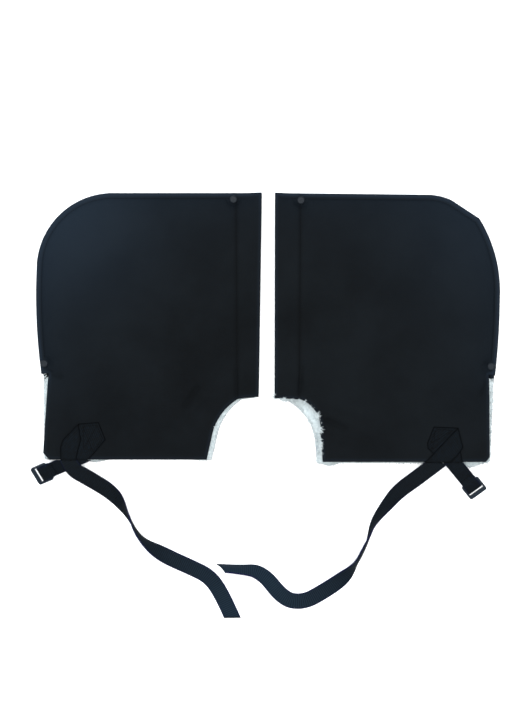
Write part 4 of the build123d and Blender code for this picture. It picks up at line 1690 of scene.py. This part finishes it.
@dataclass
class StrapFold:
    """The webbing's fold on the front panel, with the leg and the loop that hold the buckle."""

    pattern: MuffPattern
    finishes: Finishes
    tape: Tape = field(default_factory=Tape)
    bar_radius: float = 1.4
    loop_clearance: float = 0.3
    bar_spacing: float = 9.2
    loop_tail: float = 14.0
    gap: float = 0.4
    joint_run: float = 3.0
    patch_half: float = 7.5
    row_half: float = 8.6
    thread_lift: float = 0.12

    def __post_init__(self) -> None:
        """Works out the leg's own axes: along it, across it and out of its face."""
        pattern, strap = self.pattern, self.pattern.strap
        self.word = pattern.side.word
        turn, fall = math.radians(strap.leg_angle), math.radians(strap.droop)
        self.hem = pattern.hem_y + pattern.hem_up - self.gap
        thick = LEVELS.webbing
        x, _ = pattern.foot_place(strap.leg_in, 0)
        self.origin = np.array([x, self.hem, LEVELS.top + thick - thick / math.cos(fall)])
        down = math.sin(turn)
        along = np.array([pattern.side.value * math.cos(turn), -down, -down * math.tan(fall)])
        self.along = along / np.linalg.norm(along)
        self.out = np.array([0, -math.sin(fall), math.cos(fall)])
        self.sideways = np.cross(self.out, self.along)
        self.neck = strap.leg_length - self.loop_tail

    def leg_line(self) -> np.ndarray:
        """The leg's centre line in (along, out) places, from the fold towards the buckle."""
        run = np.linspace(0.0, self.neck - self.joint_run, 18)
        return np.column_stack([run, np.full(len(run), LEVELS.webbing / 2)])

    def loop_line(self) -> np.ndarray:
        """The loop's centre line in (along, out) places, over two bars and back round the second."""
        length, half = self.pattern.strap.leg_length, LEVELS.webbing / 2
        radius = self.bar_radius + self.loop_clearance + half
        first = length - self.bar_spacing
        neck = np.array([(self.neck - back, half) for back in (self.joint_run, 1.5, 0.0)])
        climb = np.radians(np.linspace(112, 90, 5))
        over = np.column_stack([first + radius * np.cos(climb), half + radius * np.sin(climb)])
        level = np.column_stack([np.linspace(first + 1.5, length - 1.5, 5), np.full(5, half + radius)])
        turns = np.radians(np.linspace(90, -90, 15))
        round_bar = np.column_stack([length + radius * np.cos(turns), half + radius * np.sin(turns)])
        back = np.column_stack([np.linspace(length - 1.5, first, 5), np.full(5, half - radius)])
        end = np.array([(self.neck + 1.6, half - 0.75 * radius), (self.neck + 0.5, -half)])
        return np.vstack([neck, over, level, round_bar, back, end])

    def strip(self, name: str, line: np.ndarray, slant: np.ndarray, start: float) -> bpy.types.Object:
        """Makes a run of tape in the leg's own axes.

        Args:
            name: The piece's name.
            line: Its centre line in (along, out) places.
            slant: How its cross-sections slant.
            start: How far along the webbing it starts.

        Returns:
            The new mesh object.
        """
        middle = self.origin + np.outer(line[:, 0], self.along) + np.outer(line[:, 1], self.out)
        ahead = unit(np.gradient(line, axis=0))
        face = np.outer(-ahead[:, 1], self.along) + np.outer(ahead[:, 0], self.out)
        side = np.tile(self.sideways, (len(line), 1))
        piece = self.tape.build(name, middle, side, face, slant, np.zeros(len(line)), start)
        return dress(piece, self.finishes.webbing)

    def build_leg(self) -> list[bpy.types.Object]:
        """Makes the leg, whose start follows the hem, and the loop that holds the buckle.

        Returns:
            The two pieces.
        """
        line = self.leg_line()
        hem_slant = -self.sideways[1] / self.along[1]
        slant = hem_slant * np.clip(1 - line[:, 0] / (self.neck - 4.0), 0, 1)
        leg = self.strip(f"{self.word}_buckle_leg_tape", line, slant, 0.0)
        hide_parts(f"{self.word}_buckle_leg")
        self._bend(leg)
        line = self.loop_line()
        plain = np.zeros(len(line))
        loop = self.strip(f"{self.word}_buckle_loop_tape", line, plain, self.neck - self.joint_run)
        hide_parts(f"{self.word}_buckle_loop")
        ends = (self.origin + self.along * (self.neck + reach) for reach in (-2.0, 0.6))
        start, end = (tuple(float(c) for c in spot * MM) for spot in ends)
        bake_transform(loop)
        return [leg, loop]

    def layer(
        self, name: str, outline: Sequence[Spot], level: float, towards: np.ndarray
    ) -> bpy.types.Object:
        """Makes one flat layer of the fold.

        Args:
            name: The piece's name.
            outline: Its corners in (in, up) places.
            level: Height of its underside.
            towards: Unit vector along the webbing in plan.

        Returns:
            The new mesh object.
        """
        corners = [self.pattern.foot_place(*spot) for spot in outline]
        runs = [straight(a, b, 1.5) for a, b in round_pairs(corners)]
        blank = Blank(np.vstack(runs), rows=(0.3, 0.8, 1.5), spacing=2.4)
        edge = gap_to(closed(blank.outline), blank.spots)
        sag = 0.5 * np.exp(-edge / 0.35)
        piece = blank.solid(name, level + LEVELS.webbing - sag, level + 0.35 * np.exp(-edge / 0.4))
        across = np.array([-towards[1], towards[0]])
        middle = np.mean(corners, axis=0)
        run, breadth = (blank.spots - middle) @ towards, (blank.spots - middle) @ across
        breadth = np.clip(breadth, -self.patch_half, self.patch_half)
        # The third value is how much painted shade darkens the tape: a little all over the fold's layers and
        # most at their edges.
        tape = np.column_stack([run * MM, breadth * MM, 0.2 + 0.75 * hump(edge, 1.2)])
        add_values(piece, "tape", np.tile(tape, (2, 1)))
        return dress(piece, self.finishes.webbing)

    def build_fold(self) -> None:
        """Makes the fold's two layers."""
        strap = self.pattern.strap
        leg_way = self.along[:2] / np.linalg.norm(self.along[:2])
        tail_way = np.array(strap.route[2][:2]) - np.array(strap.route[0][:2])
        tail_way = tail_way / np.linalg.norm(tail_way)
        under = self.layer(f"{self.word}_fold_under", strap.under, LEVELS.top, leg_way)
        over = self.layer(f"{self.word}_fold_over", strap.over, LEVELS.top + LEVELS.webbing, tail_way)
        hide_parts(f"{self.word}_strap_anchor")
        self._bend(under)
        self._bend(over)

    def build_stitches(self) -> None:
        """Makes the box of stitches, its diagonals and the row that closes the buckle's loop."""
        strap = self.pattern.strap
        corners = [self.pattern.foot_place(*spot) for spot in strap.box]
        ends = [*round_pairs(corners)]
        ends += [tuple(self.pattern.foot_place(*spot) for spot in pair) for pair in strap.cross]
        lines = [np.vstack([straight(a, b, 1.0), [b]]) for a, b in ends]
        height = LEVELS.top + LEVELS.webbing + self.thread_lift
        raised = (np.column_stack([line, np.full(len(line), height)]) for line in lines)
        made = [StitchRow(line, radius=0.42).build(f"{self.word}_box_row") for line in raised]
        piece = joined(f"{self.word}_box_stitches", made)
        dress(piece, self.finishes.thread)
        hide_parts(f"{self.word}_anchor_stitching")
        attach(piece, f"{self.word}_flap")
        breadths = np.linspace(-self.row_half, self.row_half, 12)[:, None] * self.sideways
        middle = self.origin + self.along * (self.neck - 3.6)
        line = middle + self.out * (LEVELS.webbing + self.thread_lift) + breadths
        row = dress(StitchRow(line).build(f"{self.word}_loop_stitches"), self.finishes.thread)
        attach(row, f"{self.word}_strap")

    def _bend(self, piece: bpy.types.Object) -> None:
        """Bakes a piece's placement into its points."""
        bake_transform(piece)


def joined(name: str, pieces: Sequence[bpy.types.Object]) -> bpy.types.Object:
    """Joins several mesh objects into one.

    Args:
        name: The joined piece's name.
        pieces: The objects, which are used up.

    Returns:
        The one object.
    """
    points: list[tuple[float, ...]] = []
    faces: list[tuple[int, ...]] = []
    for piece in pieces:
        start = len(points)
        points += [tuple(v.co / MM) for v in piece.data.vertices]
        faces += [tuple(start + i for i in f.vertices) for f in piece.data.polygons]
        bpy.data.objects.remove(piece)
    return make_object(name, np.array(points), faces)


# ---- hard parts -----------------------------------------------------------------------------
@dataclass
class HardParts:
    """The moulded buckle and the rivets, which keep the frame's own shapes."""

    side: Side
    nodes: dict[str, bpy.types.Object]
    finishes: Finishes
    buckle_round: float = 0.9
    rivet_round: float = 0.3
    weld_reach: float = 0.00001
    sharp: float = math.radians(40)

    def build(self) -> None:
        """Rounds and dresses each hard node."""
        word = self.side.word
        buckle = self.nodes[f"{word}_buckle"]
        self._finish(buckle, self.buckle_round, self.finishes.plastic)
        for end in ("top", "side"):
            for part in ("cap", "base"):
                rivet = self.nodes[f"{word}_{end}_rivet_{part}"]
                self._finish(rivet, self.rivet_round, self.finishes.metal)

    def _finish(
        self, node: bpy.types.Object, rounding: float, material: bpy.types.Material
    ) -> None:
        """Rounds a node's sharp edges and gives it a material."""
        weld = node.modifiers.new("weld", "WELD")
        weld.merge_threshold = self.weld_reach
        bevel = node.modifiers.new("round", "BEVEL")
        bevel.width = rounding * MM
        bevel.segments = 4
        bevel.limit_method = "ANGLE"
        bevel.angle_limit = self.sharp
        bevel.harden_normals = False
        dress(node, material)


# ---- table, light and camera ----------------------------------------------------------------
@dataclass
class Studio:
    """The pale table, soft lights and the camera straight above."""

    finishes: Finishes
    aim: Spot = (-4.1, -29.8)
    height: float = 2200.0
    long_side: float = 896.6
    level: float = 14.0
    sensor: float = 36.0
    table_reach: float = 4000.0
    table_level: float = -0.3

    def build(self) -> None:
        """Makes the camera, the lights, the world and the table."""
        self.build_camera()
        self.build_table()
        self.build_lights()

    def build_camera(self) -> None:
        """Places the camera straight above the pair."""
        data = bpy.data.cameras.new("camera")
        data.sensor_width = self.sensor
        data.lens = self.sensor * (self.height - self.level) / self.long_side
        data.clip_end = 20.0
        camera = bpy.data.objects.new("camera", data)
        camera.location = (self.aim[0] * MM, self.aim[1] * MM, self.height * MM)
        bpy.context.scene.collection.objects.link(camera)
        bpy.context.scene.camera = camera

    def build_table(self) -> None:
        """Makes the plain table top."""
        reach, level = self.table_reach, self.table_level
        quarters = ((-1, -1), (1, -1), (1, 1), (-1, 1))
        corners = np.array([(x * reach, y * reach, level) for x, y in quarters])
        table = make_object("table_top", corners, [(0, 1, 2, 3)])
        table.data.materials.append(self.finishes.table)

    def lamp(self, name: str, where: Place, size: float, watts: float, colour: Colour) -> None:
        """Adds one square soft light that faces the middle of the pair.

        Args:
            name: The light's name.
            where: Its place in metres.
            size: Its side in metres.
            watts: Its power.
            colour: Its colour.
        """
        data = bpy.data.lights.new(name, "AREA")
        data.shape = "SQUARE"
        data.size = size
        data.energy = watts
        data.color = colour
        light = bpy.data.objects.new(name, data)
        light.location = where
        light.rotation_mode = "QUATERNION"
        light.rotation_quaternion = (Vector((0, -0.05, 0)) - Vector(where)).to_track_quat("-Z", "Y")
        bpy.context.scene.collection.objects.link(light)

    def build_lights(self) -> None:
        """Sets the soft lights round the table and a pale world."""
        self.lamp("overhead_light", (0.0, 0.0, 2.7), 1.2, 105.0, (1.0, 1.0, 1.0))
        self.lamp("key_light", (-1.3, 1.1, 1.5), 1.3, 44.0, (0.84, 0.92, 1.0))
        self.lamp("fill_light", (1.5, 0.7, 1.5), 1.5, 26.0, (0.90, 0.95, 1.0))
        self.lamp("near_light", (0.2, -1.7, 1.5), 1.6, 21.0, (0.97, 0.98, 1.0))
        world = bpy.data.worlds.new("studio")
        world.use_nodes = True
        backdrop = world.node_tree.nodes["Background"]
        backdrop.inputs["Color"].default_value = (0.93, 0.96, 1.0, 1.0)
        backdrop.inputs["Strength"].default_value = 0.32
        bpy.context.scene.world = world
        bpy.context.scene.view_settings.view_transform = "Standard"


# ---- the pair -------------------------------------------------------------------------------
@dataclass
class Muff:
    """One whole muff."""

    pattern: MuffPattern
    finishes: Finishes
    nodes: dict[str, bpy.types.Object]

    def build_straps(self) -> None:
        """Makes the loose strap, the fold, the buckle's leg and the hard parts."""
        word = self.pattern.side.word
        fold = StrapFold(self.pattern, self.finishes)
        hanging = fold.build_leg()
        LooseStrap(self.pattern, self.finishes).build([*hanging, f"{word}_buckle"])
        fold.build_fold()
        fold.build_stitches()
        LOG.info("%s webbing made", word)
        HardParts(self.pattern.side, self.nodes, self.finishes).build()
        LOG.info("%s buckle and rivets dressed", word)

    def build_panels(self) -> None:
        """Makes the front and back panels with their fleece and stitching."""
        word = self.pattern.side.word
        front = FrontPanel(self.pattern, self.finishes)
        front.build()
        LOG.info("%s front panel made", word)
        BackPanel(self.pattern, self.finishes).build()
        LOG.info("%s back panel made", word)
        EdgeStitching(front, self.finishes).build()
        LOG.info("%s edge stitching made", word)


def main() -> None:
    """Builds the table, the camera and both muffs."""
    logging.basicConfig(level=logging.INFO, format="%(name)s: %(message)s")
    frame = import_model()
    finishes = Finishes.make()
    Studio(finishes).build()
    muffs = [Muff(pattern, finishes, frame["nodes"]) for pattern in (LEFT, RIGHT)]
    for muff in muffs:
        muff.build_straps()
    for muff in muffs:
        muff.build_panels()
    LOG.info("sizes written")


if __name__ == "__main__":
    main()
